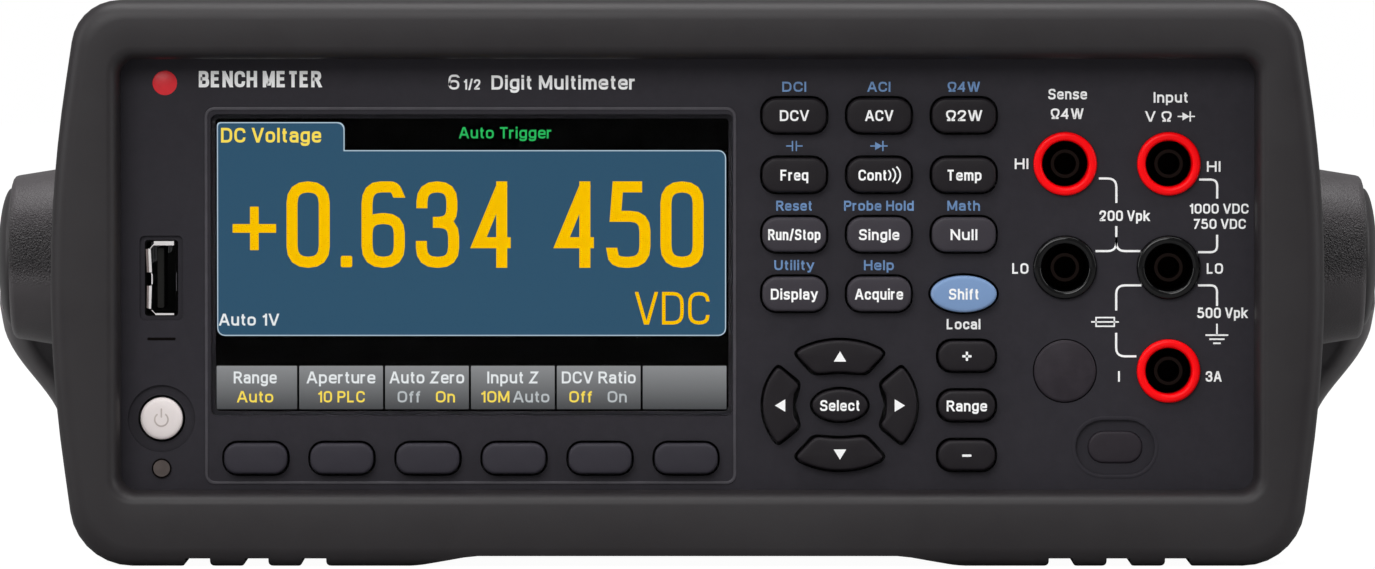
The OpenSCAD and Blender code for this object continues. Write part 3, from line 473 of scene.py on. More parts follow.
def lathe(profile, at, axis="y", steps=64):
    """Turns a profile of (radius, distance along the axis) about an axis through a point."""
    loops = []
    closed = profile[0][0] > 0 and profile[-1][0] > 0
    for radius, along in profile:
        loop = []
        for i in range(steps):
            a = 2 * math.pi * i / steps
            u, v = max(radius, 1e-4) * math.cos(a), max(radius, 1e-4) * math.sin(a)
            loop.append((at[0] + u, at[1] + along, at[2] + v) if axis == "y"
                        else (at[0] + along, at[1] + u, at[2] + v))
        loops.append(loop)
    return loft(loops, ring=closed)


def flat_plate(outline, y_front, thickness):
    """A thin plate with an outline in X and Z."""
    loops = [[(x, y, z) for x, z in outline] for y in (y_front, y_front + thickness)]
    return loft(loops)


def plate_piece(name, outline, y_front, thickness, material, body="case"):
    """A thin plate that rides on a body."""
    return add_object(name, flat_plate(outline, y_front, thickness), material, body)


# Strokes of each letter as corners on the middle of the stroke: across, up and an optional rounding.
# Capitals stand 10 high, small letters 7.2, and a path that ends where it starts is closed.
LETTERS = {
    "A": "0,0 2.8,10 3.8,10 6.6,0; 1.3,3 5.3,3", "B": "0,0 0,10 5.4,10,2.3 5.4,5.2,2.3 0,5.2; "
    "0,5.2 5.9,5.2,2.4 5.9,0,2.4 0,0", "C": "6,7.9 6,10,3.2 0,10,3.3 0,0,3.3 6,0,3.2 6,2.1",
    "D": "0,0 0,10 6.2,10,3.4 6.2,0,3.4 0,0", "E": "5.4,10 0,10 0,0 5.6,0; 0,5.2 5,5.2",
    "F": "5.4,10 0,10 0,0; 0,5.1 4.8,5.1", "H": "0,0 0,10; 6,0 6,10; 0,5.2 6,5.2", "I": "0,0 0,10",
    "L": "0,10 0,0 5,0", "M": "0,0 0,10; 7.4,0 7.4,10; 0.4,10 3.3,1.4 4.1,1.4 7,10",
    "N": "0,0 0,10; 6,0 6,10; 0.3,10 5.7,0", "O": "0,5 0,10,3.3 6.4,10,3.3 6.4,0,3.3 0,0,3.3 0,5",
    "P": "0,0 0,10 5.6,10,2.6 5.6,4.6,2.6 0,4.6", "R": "0,0 0,10 5.6,10,2.5 5.6,5,2.5 0,5; 3.2,5 5.8,0",
    "S": "5.5,8.6 5.5,10,2 0.2,10,2.6 0.2,5.3,2.5 5.7,5,2.5 5.7,0,2.6 0,0,2 0,1.4",
    "T": "0,10 6.4,10; 3.2,0 3.2,10", "U": "0,10 0,0,3 6,0,3 6,10", "V": "0,10 2.8,0 3.6,0 6.4,10",
    "W": "0,10 2.1,0 2.9,0 4.6,10 5.4,10 7.1,0 7.9,0 10,10", "Z": "0.2,10 5.8,10 0,0 6,0",
    "Ω": "0,0 2.2,0 2.2,1.4,1 0,4.4,1.6 0,10,3.2 6.6,10,3.2 6.6,4.4,1.6 4.4,1.4,1 4.4,0 6.6,0",
    "0": "0,5 0,10,2.9 5.8,10,2.9 5.8,0,2.9 0,0,2.9 0,5", "1": "0.6,7.6 2.6,9; 3.1,0 3.1,10",
    "2": "0.1,7.6 0.1,10,2.6 5.5,10,2.8 5.5,6,2.6 0.1,0,0.3 5.8,0",
    "3": "0.1,7.9 0.1,10,2.6 5.3,10,2.5 5.3,5.3,2.3 2,5.3; 2,5.3 5.6,5.3,2.5 5.6,0,2.6 0,0,2.6 0,2.1",
    "4": "4.4,0 4.4,10; 4,9.4 0,2.6 6.1,2.6",
    "5": "5.2,10 0.9,10 0.5,6.1 5.7,6.1,2.6 5.7,0,2.8 0,0,2.2 0,1.2",
    "6": "5.3,9.3 4.9,10,0.8 0,10,3 0,0,2.9 5.7,0,2.8 5.7,5.8,2.6 0,5.8,2.6 0,3", "7": "0,10 5.8,10 1.8,0",
    "a": "0.4,6.4 0.4,7.2,1.4 4.6,7.2,1.9 4.6,0; 4.6,4.2 0,4.2,1.9 0,0,1.9 4.6,0,2 4.6,2.2",
    "b": "0,0 0,10; 0,3.6 0,7.2,2.3 4.8,7.2,2.3 4.8,0,2.3 0,0,2.3 0,3.6",
    "c": "4.5,5.6 4.5,7.2,2.1 0,7.2,2.3 0,0,2.3 4.5,0,2.1 4.5,1.6",
    "e": "0,3.7 4.8,3.7 4.8,7.2,2.3 0,7.2,2.3 0,0,2.3 4.5,0,1.4 4.5,0.5",
    "f": "1.2,0 1.2,10,1.9 3.3,10; -0.2,7.2 3,7.2",
    "g": "4.8,7.2 4.8,-2.8,2.2 0.3,-2.8,1.9 0.3,-2; "
    "4.8,3.6 4.8,7.2,2.3 0,7.2,2.3 0,0.2,2.3 4.8,0.2,2.3 4.8,3.6",
    "h": "0,0 0,10; 0,4 0,7.2,2.2 4.6,7.2,2.3 4.6,0", "i": "0,0 0,7.2; 0,10.2 0,10.3",
    "k": "0,0 0,10; 0.8,3.2 4.4,7.2; 1.8,4.4 4.8,0", "l": "0,0 0,10",
    "m": "0,0 0,7.2; 0,4.4 0,7.2,1.8 3.8,7.2,1.8 3.8,0; 3.8,4.4 3.8,7.2,1.8 7.6,7.2,1.8 7.6,0",
    "n": "0,0 0,7.2; 0,4 0,7.2,2.2 4.6,7.2,2.3 4.6,0",
    "o": "0,3.6 0,7.2,2.4 5,7.2,2.4 5,0,2.4 0,0,2.4 0,3.6",
    "p": "0,-2.9 0,7.2; 0,3.6 0,7.2,2.3 4.8,7.2,2.3 4.8,0,2.3 0,0,2.3 0,3.6",
    "r": "0,0 0,7.2; 0,4.2 0,7.2,2.2 3,7.2",
    "s": "4.2,6.6 4.2,7.2,1.2 0.1,7.2,1.9 0.1,3.8,1.6 4.4,3.5,1.6 4.4,0,1.8 0,0,1.2 0,0.7",
    "t": "1.1,9.4 1.1,0,1.6 3,0; -0.2,7.2 2.9,7.2", "u": "0,7.2 0,0,2.2 4.6,0,2.2 4.6,3; 4.6,0 4.6,7.2",
    "y": "0,7.2 2.5,0.6; 5,7.2 2,-2.8,0.8 0,-2.8", "/": "0,-0.6 2.8,10.6",
}
LETTERS["d"] = "4.8,0 4.8,10; " + LETTERS["b"].split("; ")[1]
LETTERS["q"] = "4.8,-2.9 4.8,7.2; " + LETTERS["b"].split("; ")[1]


def letter_strokes(letter):
    """A letter's strokes as lists of (across, up, rounding)."""
    for stroke in LETTERS[letter].split(";"):
        corners = [[float(v) for v in corner.split(",")] for corner in stroke.split()]
        yield [(c[0], c[1], c[2] if len(c) > 2 else 0.0) for c in corners]


def on_bend(start, corner, end, share):
    """A point at a share of the way round a bend."""
    return (1 - share) ** 2 * start + 2 * share * (1 - share) * corner + share ** 2 * end


def bend_path(corners, scale, bends=4):
    """Points along a stroke with its bends rounded; says too whether it closes on itself."""
    spots = [Vector((x * scale[0], z * scale[1])) for x, z, _ in corners]
    closed = (spots[0] - spots[-1]).length < 1e-6
    path = [spots[0]]
    last = len(spots) - 1
    for i in range(1, last):
        here, back, ahead = spots[i], spots[i - 1] - spots[i], spots[i + 1] - spots[i]
        bend = corners[i][2]
        if not bend:
            path.append(here)
            continue
        into = min(bend * scale[0], back.length * (0.5 if i > 1 or closed else 1))
        out = min(bend * scale[0], ahead.length * (0.5 if i < last - 1 or closed else 1))
        start, end = here + back.normalized() * into, here + ahead.normalized() * out
        path += [on_bend(start, here, end, k / bends) for k in range(bends + 1)]
    if not closed:
        path.append(spots[-1])
    neat = [path[0]]
    for point in path[1:]:
        if (point - neat[-1]).length > 1e-4:
            neat.append(point)
    if closed and (neat[0] - neat[-1]).length < 1e-4:
        neat.pop()
    return neat, closed


def stroke_sides(path, closed, width):
    """Left and right edge of a stroke of constant width; upright ends are cut level."""
    sides, half, count = ([], []), width / 2, len(path)
    for i, here in enumerate(path):
        into = here - path[i - 1] if closed or i else None
        out = path[(i + 1) % count] - here if closed or i < count - 1 else None
        into = (into if into is not None else out).normalized()
        out = (out if out is not None else into).normalized()
        across = Vector((-(into.y + out.y), into.x + out.x)).normalized()
        reach = half / max(across.dot(Vector((-into.y, into.x))), 0.45)
        end = not closed and i in (0, count - 1)
        for side, sign in zip(sides, (1, -1)):
            point = here + across * reach * sign
            if end and abs(into.y) > 0.6:
                away = 1 if (into.y > 0) == (i > 0) else -1
                level = here.y + half * away
                point = point + into * ((level - point.y) / into.y)
            side.append(point)
    return sides


def letter_mesh(words, x, z, cap_height, width, y, weight, thickness=0.08, gap=1.5):
    """Words drawn in strokes, centred at x and z, with a set capital height and overall width."""
    stroke = weight * cap_height
    up = (cap_height - stroke) / 10
    pen, laid, heavy = 0.0, [], 0
    for letter in words:
        if letter == " ":
            pen += 3.4
            continue
        overhang = 0.5 if letter in "tTfr" and laid else 0.0
        pen -= overhang
        strokes = list(letter_strokes(letter))
        xs = [c[0] for one in strokes for c in one]
        laid.append((strokes, pen - min(xs), heavy))
        pen += max(xs) - min(xs) + gap - overhang
        heavy += 1
    pen -= gap
    unit = (width - heavy * stroke) / pen if width and pen > 0 else up
    total = pen * unit + heavy * stroke
    shape = bmesh.new()
    for strokes, start, before in laid:
        for layer, corners in enumerate(strokes):
            path, closed = bend_path([(c[0] + start, c[1], c[2]) for c in corners], (unit, up))
            shift = Vector((x - total / 2 + stroke * (before + 0.5), z - cap_height / 2 + stroke / 2))
            left, right = stroke_sides([p + shift for p in path], closed, stroke)
            add_ribbon(shape, left, right, closed, y + 0.003 * layer, thickness)
    return mesh_from_bmesh(shape)


def add_ribbon(shape, left, right, closed, y, thickness):
    """Adds a thin solid between two edges given in X and Z."""
    rows = [[shape.verts.new((p.x, depth, p.y)) for p in side]
            for side, depth in ((left, y), (right, y), (right, y + thickness), (left, y + thickness))]
    count = len(left)
    for i in range(count if closed else count - 1):
        j = (i + 1) % count
        for first, second in zip(rows, rows[1:] + rows[:1]):
            shape.faces.new((first[i], first[j], second[j], second[i]))
    if not closed:
        for i in (0, count - 1):
            shape.faces.new([row[i] for row in rows])


def lettering(name, words, x, z, cap_height, width, y, material, body, weight=0.175, thickness=0.08):
    """A piece of printed lettering."""
    mesh = letter_mesh(words, x, z, cap_height, width, y, weight, thickness)
    return add_object(name, mesh, material, body, smooth=30)


def line_piece(name, points, material="ink_white", width=0.4, corner=1.6):
    """A printed line on the front panel, with rounded bends."""
    path, closed = bend_path([(x, z, corner) for x, z in points], (1, 1), 5)
    left, right = stroke_sides(path, True, width) if closed else square_sides(path, width)
    shape = bmesh.new()
    add_ribbon(shape, left, right, closed, Y_PANEL - PRINT, 0.08)
    return add_object(name, mesh_from_bmesh(shape), material, "case", smooth=30)


def square_sides(path, width):
    """Edges of an open line whose ends are cut square."""
    sides = ([], [])
    for i, here in enumerate(path):
        ahead = (path[min(i + 1, len(path) - 1)] - path[max(i - 1, 0)]).normalized()
        across = Vector((-ahead.y, ahead.x)) * width / 2
        sides[0].append(here + across)
        sides[1].append(here - across)
    return sides


def cut(target, cutter_mesh, name):
    """Cuts a mesh out of an object and applies the result."""
    cutter = bpy.data.objects.new(name, cutter_mesh)
    bpy.context.scene.collection.objects.link(cutter)
    modifier = target.modifiers.new("cut", "BOOLEAN")
    modifier.operation = "DIFFERENCE"
    modifier.solver = "EXACT"
    modifier.object = cutter
    bpy.context.view_layer.update()
    result = bpy.data.meshes.new_from_object(target.evaluated_get(bpy.context.evaluated_depsgraph_get()))
    target.modifiers.clear()
    target.data = result
    bpy.data.objects.remove(cutter)


# ---------------------------------------------------------------- bumpers


BUMPER_HALF = (bumper_hi.x - bumper_lo.x) / 2
BOW_R = 240
CORNER_TOP, CORNER_BOTTOM = 8.8, 11.5
LIP_SIDE, LIP_TOP, LIP_BOTTOM = 2.3, 3.05, 6.0
LIP_ROUND = 1.9
BUMPER_LEN = bumper_hi.y - bumper_lo.y
FOOT_H = 2.0


def half_width(z):
    """Half of the bumper's width at a height."""
    return BUMPER_HALF - (z - Z_MID) ** 2 / (2 * BOW_R)


def whole_loop(right, y, flat):
    """A closed loop at one depth, from its right side and the two level runs that join it to the left."""
    left = [(-x, z) for x, z in reversed(right)]
    top, bottom = ([(x * (1 - 2 * i / flat), z) for i in range(1, flat)]
                   for x, z in (right[-1], (-right[0][0], right[0][1])))
    return [(x, y, z) for x, z in right + top + left + bottom]


def bumper_loop(y, inset, corner=7, side=14, flat=22):
    """One loop round the bumper's bowed outline, from the bottom right corner upwards."""
    rb, rt = max(CORNER_BOTTOM - inset / 2, 1), max(CORNER_TOP - inset / 2, 1)
    zb, zt = rb + inset, TOP - rt - inset
    right = arc(half_width(zb) - inset - rb, zb, rb, -90, -8, corner)
    right += [(half_width(z) - inset, z) for z in
              (zb + (zt - zb) * i / side for i in range(1, side))]
    right += arc(half_width(zt) - inset - rt, zt, rt, 8, 90, corner)
    return whole_loop(right, y, flat)


def opening_loop(y, w, h, cz, r, corner=7, side=14, flat=22):
    """One loop round a rectangular opening with the same point count as the outer loops."""
    half_w, half_h = w / 2, h / 2
    right = arc(half_w - r, cz - half_h + r, r, -90, 0, corner)
    right += [(half_w, cz - half_h + r + (h - 2 * r) * i / side) for i in range(1, side)]
    right += arc(half_w - r, cz + half_h - r, r, 0, 90, corner)
    return whole_loop(right, y, flat)


def bumper_piece(name, node_name, y_face, inward, recess, open_w, open_h, open_z):
    """A rubber bumper: rounded front edge, bowed sides, chamfered opening, feet and tread."""
    def at(depth):
        return y_face + inward * depth

    outer = [(0.0, 3.6), (0.12, 2.7), (0.45, 1.8), (1.0, 1.05), (1.8, 0.5), (2.8, 0.15), (4.2, 0),
             (BUMPER_LEN - 10, 0), (BUMPER_LEN - 6, 0.9), (BUMPER_LEN - 2.4, 2.2),
             (BUMPER_LEN - 0.6, 3.0), (BUMPER_LEN, 4.0)]
    loops = [bumper_loop(at(d), inset) for d, inset in outer]
    cavity_w, cavity_h = CASE_W + 0.2, CASE_H + 0.2
    loops.append(opening_loop(at(BUMPER_LEN), cavity_w, cavity_h, Z_MID, 5.1))
    loops.append(opening_loop(at(recess - 0.1), cavity_w, cavity_h, Z_MID, 5.1))
    loops.append(opening_loop(at(recess - 0.1), open_w, open_h, open_z, 3))
    lip = [(3.2, 0.0), (2.4, 0.12), (1.5, 0.42), (0.8, 0.9), (0.3, LIP_ROUND - 0.5), (0.08, LIP_ROUND),
           (0.0, LIP_ROUND + 0.5)]
    for depth, grow in lip:
        loops.append(opening_loop(at(depth), open_w + 2 * grow, open_h + 2 * grow, open_z, 3 + grow * 0.7))
    mesh = loft(loops, ring=True)
    made = add_object(name, mesh, "bumper", "case")
    cut(made, underside_cutter(at(-2), at(BUMPER_LEN + 2)), name + "_cutter")
    made.data.materials.clear()
    made.data.materials.append(M["bumper"])
    shade(made.data, 32)
    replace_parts(made, node_name)
    return made


def underside_cutter(y0, y1):
    """The raised middle between the feet and the tread grooves, as one cutter."""
    ramp = [(51, 0), (48.6, 0.3), (44.6, 1.05), (41, 1.72), (38.4, FOOT_H)]
    outlines = [[(-53, -3), (53, -3), (53, -0.5)] + ramp + [(-x, z) for x, z in reversed(ramp)] + [(-53, -0.5)]]
    lug_round, groove_top = 0.95, 1.55
    for side in (-1, 1):
        for a, b in ((66.2, 70.6), (76.8, 81.1), (87.5, 92)):
            a, b = sorted((side * a, side * b))
            turns = [math.radians(t) for t in range(0, 91, 18)]
            outlines.append([(a - lug_round, -1)] + [(a - lug_round * (1 - math.sin(t)),
                                                      lug_round * (1 - math.cos(t))) for t in turns]
                            + [(a, groove_top), (b, groove_top)]
                            + [(b + lug_round * (1 - math.sin(t)), lug_round * (1 - math.cos(t)))
                               for t in reversed(turns)] + [(b + lug_round, -1)])
    shape = bmesh.new()
    for outline in outlines:
        rows = [[shape.verts.new((x, y, z)) for x, z in outline] for y in (y0, y1)]
        for i in range(len(outline)):
            j = (i + 1) % len(outline)
            shape.faces.new((rows[0][i], rows[0][j], rows[1][j], rows[1][i]))
        shape.faces.new(rows[0])
        shape.faces.new(rows[1])
    return mesh_from_bmesh(shape)


# ---------------------------------------------------------------- keys


def cap_loops(outline, y_front, y_back, fillet, crown):
    """Loops of a key: straight sides, a rounded front edge and a slightly crowned face."""
    cx = sum(p[0] for p in outline) / len(outline)
    cz = sum(p[1] for p in outline) / len(outline)
    loops = [[(x, y_back, z) for x, z in outline]]
    for i in range(6):
        a = math.radians(90 * i / 5)
        ring = inset_outline(outline, fillet * (1 - math.cos(a)))
        loops.append([(x, y_front + crown + fillet * (1 - math.sin(a)), z) for x, z in ring])
    edge = inset_outline(outline, fillet)
    for share in (0.8, 0.55, 0.3, 0.08):
        loops.append([(cx + (x - cx) * share, y_front + crown * share ** 2, cz + (z - cz) * share)
                      for x, z in edge])
    return loops


def key_piece(name, outline, material, fillet=0.55, crown=0.1, y_front=None):
    """A key cap that stands for its CAD node."""
    low, high = mm_box(name)
    mesh = loft(cap_loops(outline, low.y if y_front is None else y_front, high.y,
                                         fillet, crown))
    made = add_object(name + "_cap", mesh, material, name + "_body", smooth=50)
    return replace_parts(made, name)


def box_key(name, material, radius):
    """A key with a rounded rectangular outline, placed by its CAD node."""
    low, high = mm_box(name)
    w, h = high.x - low.x - 2 * KEY_FLANGE, high.z - low.z - 2 * KEY_FLANGE
    mid = centre(name)
    return key_piece(name, round_rect(w, h, radius, 8, mid.x, mid.z), material)


KEY_LABELS = {
    "key_dcv": ("DCV", 5.3), "key_acv": ("ACV", 5.1), "key_ohms": ("Ω2W", 6.6),
    "key_freq": ("Freq", 5.1), "key_cont": ("Cont", 5.2), "key_temp": ("Temp", 6.4),
    "key_run": ("Run/Stop", 9.6), "key_single": ("Single", 7.4), "key_null": ("Null", 4.9),
    "key_display": ("Display", 8.6), "key_acquire": ("Acquire", 8.8), "key_shift": ("Shift", 5.5),
    "key_range": ("Range", 7.4), "nav_select": ("Select", 7.3),
}
LEGENDS = {
    "key_dcv": ("DCI", 4.4), "key_acv": ("ACI", 4.2), "key_ohms": ("Ω4W", 5.9),
    "key_run": ("Reset", 6.6), "key_single": ("Probe Hold", 12.8), "key_null": ("Math", 6.0),
    "key_display": ("Utility", 7.3), "key_acquire": ("Help", 5.5),
}


def label(name, words, width, z_off=0.0, x_off=0.0, cap=2.0):
    """Lettering on a key, riding with it."""
    mid = centre(name)
    low = mm_box(name)[0]
    lettering(name + "_label", words, mid.x + x_off, mid.z + z_off, cap, width, low.y - LABEL_PROUD,
              "ink_white", name + "_body")


def triangle_mark(name, turn):
    """A small triangle on an arrow key, turned to point its way."""
    mid = centre(name)
    low = mm_box(name)[0]
    corners = [(0, 1.05), (-1.15, -0.85), (1.15, -0.85)]
    a = math.radians(turn)
    outline = [(mid.x + x * math.cos(a) - z * math.sin(a), mid.z + x * math.sin(a) + z * math.cos(a))
               for x, z in corners]
    plate_piece(name + "_mark", outline, low.y - LABEL_PROUD, 0.12, "ink_white", name + "_body")


NAV_A, NAV_B = 14.15, 11.95
nav_mid = centre("nav_select")


def rounded(points, radius, steps=4):
    """Rounds the corners of an outline whose corner points are flagged with True."""
    result = []
    count = len(points)
    for i, (x, z, corner) in enumerate(points):
        here = Vector((x, z))
        if not corner:
            result.append((x, z))
            continue
        before = Vector(points[i - 1][:2])
        after = Vector(points[(i + 1) % count][:2])
        start = here + (before - here).normalized() * min(radius, (before - here).length / 2)
        end = here + (after - here).normalized() * min(radius, (after - here).length / 2)
        result += [tuple(on_bend(start, here, end, k / steps)) for k in range(steps + 1)]
    return result


def nav_up_outline():
    """The upper arrow key: outer edge on the ellipse, straight flanks and a hollowed inner edge."""
    top = [(x, NAV_B * math.sqrt(1 - (x / NAV_A) ** 2)) for x in
           (7.2 - 14.4 * i / 12 for i in range(13))]
    points = [(x, z, False) for x, z in top]
    points += [(-8.1, 9.45, True), (-4.6, 5.8, True)]
    points += [(x, 6.15 - 0.35 * (x / 3.6) ** 2, False) for x in (-2.4, -1.2, 0, 1.2, 2.4)]
    points += [(4.6, 5.8, True), (8.1, 9.45, True)]
    return rounded(points, 1.1)


def nav_right_outline():
    """The right arrow key, with the same build turned on its side."""
    outer = [(NAV_A * math.sqrt(1 - (z / NAV_B) ** 2), z) for z in
             (-6.1 + 12.2 * i / 12 for i in range(13))]
    points = [(x, z, False) for x, z in outer]
    points += [(11.35, 7.1, True), (7.4, 3.7, True)]
    points += [(8.35 + 0.25 * (1 - (z / 2.4) ** 2), z, False) for z in (2.2, 1.1, 0, -1.1, -2.2)]
    points += [(7.4, -3.7, True), (11.35, -7.1, True)]
    return rounded(points, 1.1)


def keys():
    """All the keys with their lettering."""
    for k in range(1, 7):
        box_key(f"softkey_{k}", "softkey", 2.4)
    grey = ("key_null", "key_acquire", "key_single", "key_run", "key_display")
    for name in [n for n in NODES if n.startswith("key_")]:
        if name == "key_shift":
            mid = centre(name)
            low, high = mm_box(name)
            w, h = high.x - low.x - 2 * KEY_FLANGE, high.z - low.z - 2 * KEY_FLANGE
            outline = [(mid.x + x, mid.z + z) for x, z in ellipse(w / 2, h / 2, 48)]
            key_piece(name, outline, "key_blue")
            continue
        kind = "key_grey" if name in grey else "key_dark"
        box_key(name, kind, 2.6)
    shapes = {"nav_up": nav_up_outline(), "nav_right": nav_right_outline()}
    shapes["nav_down"] = [(x, -z) for x, z in shapes["nav_up"]][::-1]
    shapes["nav_left"] = [(-x, z) for x, z in shapes["nav_right"]][::-1]
    shapes["nav_select"] = ellipse(5.08, 2.93)
    for name, outline in shapes.items():
        key_piece(name, [(nav_mid.x + x, nav_mid.z + z) for x, z in outline], "key_dark",
                  fillet=0.5)
    for name, turn in (("nav_up", 0), ("nav_down", 180), ("nav_left", 90), ("nav_right", 270)):
        triangle_mark(name, turn)
    for name, (words, width) in KEY_LABELS.items():
        label(name, words, width, x_off=-1.2 if name == "key_cont" else 0)
    label_bars("key_range_up", True)
    label_bars("key_range_down", False)
    sound_waves()
    for name, (words, width) in LEGENDS.items():
        mid = centre(name)
        lettering(name + "_legend", words, mid.x, mid.z + 5.25, 1.85, width, Y_PANEL - PRINT,
                  "ink_blue", "case", 0.18)
    mid = centre("key_shift")
    lettering("local_legend", "Local", mid.x, mid.z - 5.6, 1.9, 6.2, Y_PANEL - PRINT, "ink_white", "case", 0.18)


def label_bars(name, upright):
    """A plus or a minus on a range key."""
    mid = centre(name)
    low = mm_box(name)[0]
    sizes = [(1.7, 0.42)] + ([(0.42, 1.7)] if upright else [])
    for i, (w, h) in enumerate(sizes):
        plate_piece(f"{name}_sign_{i}", round_rect(w, h, 0.08, 2, mid.x, mid.z), low.y - LABEL_PROUD, 0.12,
                    "ink_white", name + "_body")


def sound_waves():
    """Three small arcs after the continuity key's word."""
    mid = centre("key_cont")
    low = mm_box("key_cont")[0]
    for i in range(3):
        r = 1.17 + 0.43 * i
        x = mid.x + 0.93 + 0.46 * i
        outline = arc(x, mid.z, r + 0.14, -50, 50, 8) + arc(x, mid.z, r - 0.14, 50, -50, 8)
        plate_piece(f"key_cont_wave_{i}", outline, low.y - LABEL_PROUD, 0.12, "ink_white", "key_cont_body")


# ---------------------------------------------------------------- display


def screen():
    """The lit display behind its window."""
    low, high = window_lo, window_hi
    w, h = high.x - low.x, high.z - low.z
    y_glass = Y_PANEL + 2.62

    def plate(name, outline, material, layer):
        return plate_piece(name, outline, y_glass - 0.02 * layer, 0.015, material)

    mid_x, mid_z = (low.x + high.x) / 2, (low.z + high.z) / 2
    plate("screen_back", round_rect(w - 0.2, h - 0.2, 0.6, 3, mid_x, mid_z), "screen_black", 0)
    left, right, ledge = low.x + 0.22, high.x - 1.1, 0.72
    top, bottom = high.z - 6.5, high.z - 40.7
    tab_w, tab_top = 24.2, high.z - 1.35
    for name, grow, material, layer in (("screen_rim", 0.0, "screen_line", 1),
                                        ("screen_field", 0.2, "screen_blue", 2)):
        a, b, c, d = left + ledge + grow, right - grow, top - grow, bottom + grow
        t, s = tab_top - grow, left + tab_w - grow
        r = 1.4 - grow
        outline = (arc(b - r, c - r, r, 0, 90, 4)[::-1] + arc(b - r, d + r, r, 0, -90, 4)
                   + arc(a + r, d + r, r, 270, 180, 4) + arc(a + 0.6, t - 0.6, 0.6, 180, 90, 3)
                   + arc(s - 1.2, t - 1.2, 1.2, 90, 0, 4) + [(s, c)])
        plate(name, outline, material, layer)
    y = y_glass - 0.07

    def words(name, text, x, z, cap, width, material, weight=0.19):
        lettering(name, text, x, z, cap, width, y, material, "case", weight, 0.02)

    words("screen_title", "DC Voltage", low.x + 10.9, high.z - 3.75, 2.7, 18.4, "screen_tab", 0.17)
    words("screen_trigger", "Auto Trigger", low.x + 54.0, high.z - 3.3, 2.1, 17.0, "screen_green", 0.16)
    words("screen_units", "VDC", low.x + 84.7, high.z - 35.6, 6.0, 13.6, "screen_yellow", 0.105)
    words("screen_range", "Auto 1V", low.x + 6.8, high.z - 37.7, 2.2, 11.0, "screen_white", 0.17)
    digits = [("0", 17.7), ("6", 31.5), ("3", 41.5), ("4", 52.0), ("4", 67.3), ("5", 76.7), ("0", 86.5)]
    for i, (digit, x) in enumerate(digits):
        words(f"screen_digit_{i}", digit, low.x + x, high.z - 20.2, 15.9, 7.95, "screen_yellow", 0.127)
    plate("screen_point", round_rect(2.1, 2.1, 0.3, 2, low.x + 24.75, high.z - 27.0), "screen_yellow", 3)
    for i, (bw, bh) in enumerate(((8.0, 1.6), (1.6, 8.0))):
        plate(f"screen_plus_{i}", round_rect(bw, bh, 0.1, 2, low.x + 7.8, high.z - 20.9),
              "screen_yellow", 3 + i)
    box_w, box_pitch, box_top, box_bottom = 15.4, 15.81, high.z - 46.2, high.z - 54.2
    menu = (("Range", 7.9, "", "Auto"), ("Aperture", 12.6, "", "10 PLC"), ("Auto Zero", 13.7, "Off", "On"),
            ("Input Z", 9.4, "Auto", "10M"), ("DCV Ratio", 13.6, "On", "Off"), ("", 0, "", ""))
    word_width = {"Auto": 6.65, "10 PLC": 8.7, "Off": 4.2, "On": 3.5, "10M": 5.3}
    M["screen_menu"] = glow("screen_menu", srgb(142, 143, 145), 1.0,
                            (srgb(76, 77, 79), box_bottom * MM, box_top * MM))
    for i, (title, title_width, dim, chosen) in enumerate(menu):
        x = left + box_w / 2 + i * box_pitch
        middle = (box_top + box_bottom) / 2
        hidden = 0 if i else 0.6
        box = round_rect(box_w - hidden, box_top - box_bottom, 0.1, 1, x + hidden / 2, middle)
        plate(f"screen_menu_{i}", box, "screen_menu", 1)
        if title:
            words(f"screen_menu_title_{i}", title, x, box_top - 2.15, 2.2, title_width, "screen_white", 0.16)
        if dim:
            first = chosen == "10M"
            order = ((chosen, "screen_tab"), (dim, "screen_dim")) if first or chosen == "Off" else \
                ((dim, "screen_dim"), (chosen, "screen_tab"))
            for k, (word, colour) in enumerate(order):
                words(f"screen_menu_choice_{i}_{k}", word, x + (3.4 if k else -3.3), box_top - 5.7, 2.1,
                      word_width[word], colour, 0.16)
        elif chosen:
            words(f"screen_menu_choice_{i}", chosen, x, box_top - 5.7, 2.1, word_width[chosen],
                  "screen_tab", 0.16)


def display_ridge():
    """The thin raised line round the display and its softkeys."""
    low, high = window_lo, window_hi
    x0, x1 = low.x - 1.3, high.x + 0.85
    z0, z1 = centre("softkey_1").z - 4.9, high.z + 1.55
    outline = round_rect(x1 - x0, z1 - z0, 1.9, 6, (x0 + x1) / 2, (z0 + z1) / 2)
    profile = [(0.0, 0.1), (0.12, -0.18), (0.36, -0.24), (0.6, -0.18), (0.72, 0.1)]
    loops = [[(x, Y_PANEL + out, z) for x, z in inset_outline(outline, inset)] for inset, out in profile]
    # the ridge's lighter plastic is a painted highlight along the display frame's edge
    add_object("display_ridge", loft(loops, ring=True), "ridge", "case")


# ---------------------------------------------------------------- jacks, blanks, button, light


JACKS = {"red": "jack_shells_red", "black": "jack_shells_black"}


def node_islands(name):
    """Middles in X and Z of the separate solids of a node, sorted."""
    shape = bmesh.new()
    shape.from_mesh(NODES[name].data)
    bmesh.ops.remove_doubles(shape, verts=shape.verts, dist=1e-6)
    found, unseen = [], set(shape.verts)
    while unseen:
        stack, island = [unseen.pop()], []
        while stack:
            vert = stack.pop()
            island.append(vert.co / MM)
            for edge in vert.link_edges:
                other = edge.other_vert(vert)
                if other in unseen:
                    unseen.remove(other)
                    stack.append(other)
        xs, zs = [p.x for p in island], [p.z for p in island]
        found.append(((min(xs) + max(xs)) / 2, (min(zs) + max(zs)) / 2))
    shape.free()
    return sorted(found)


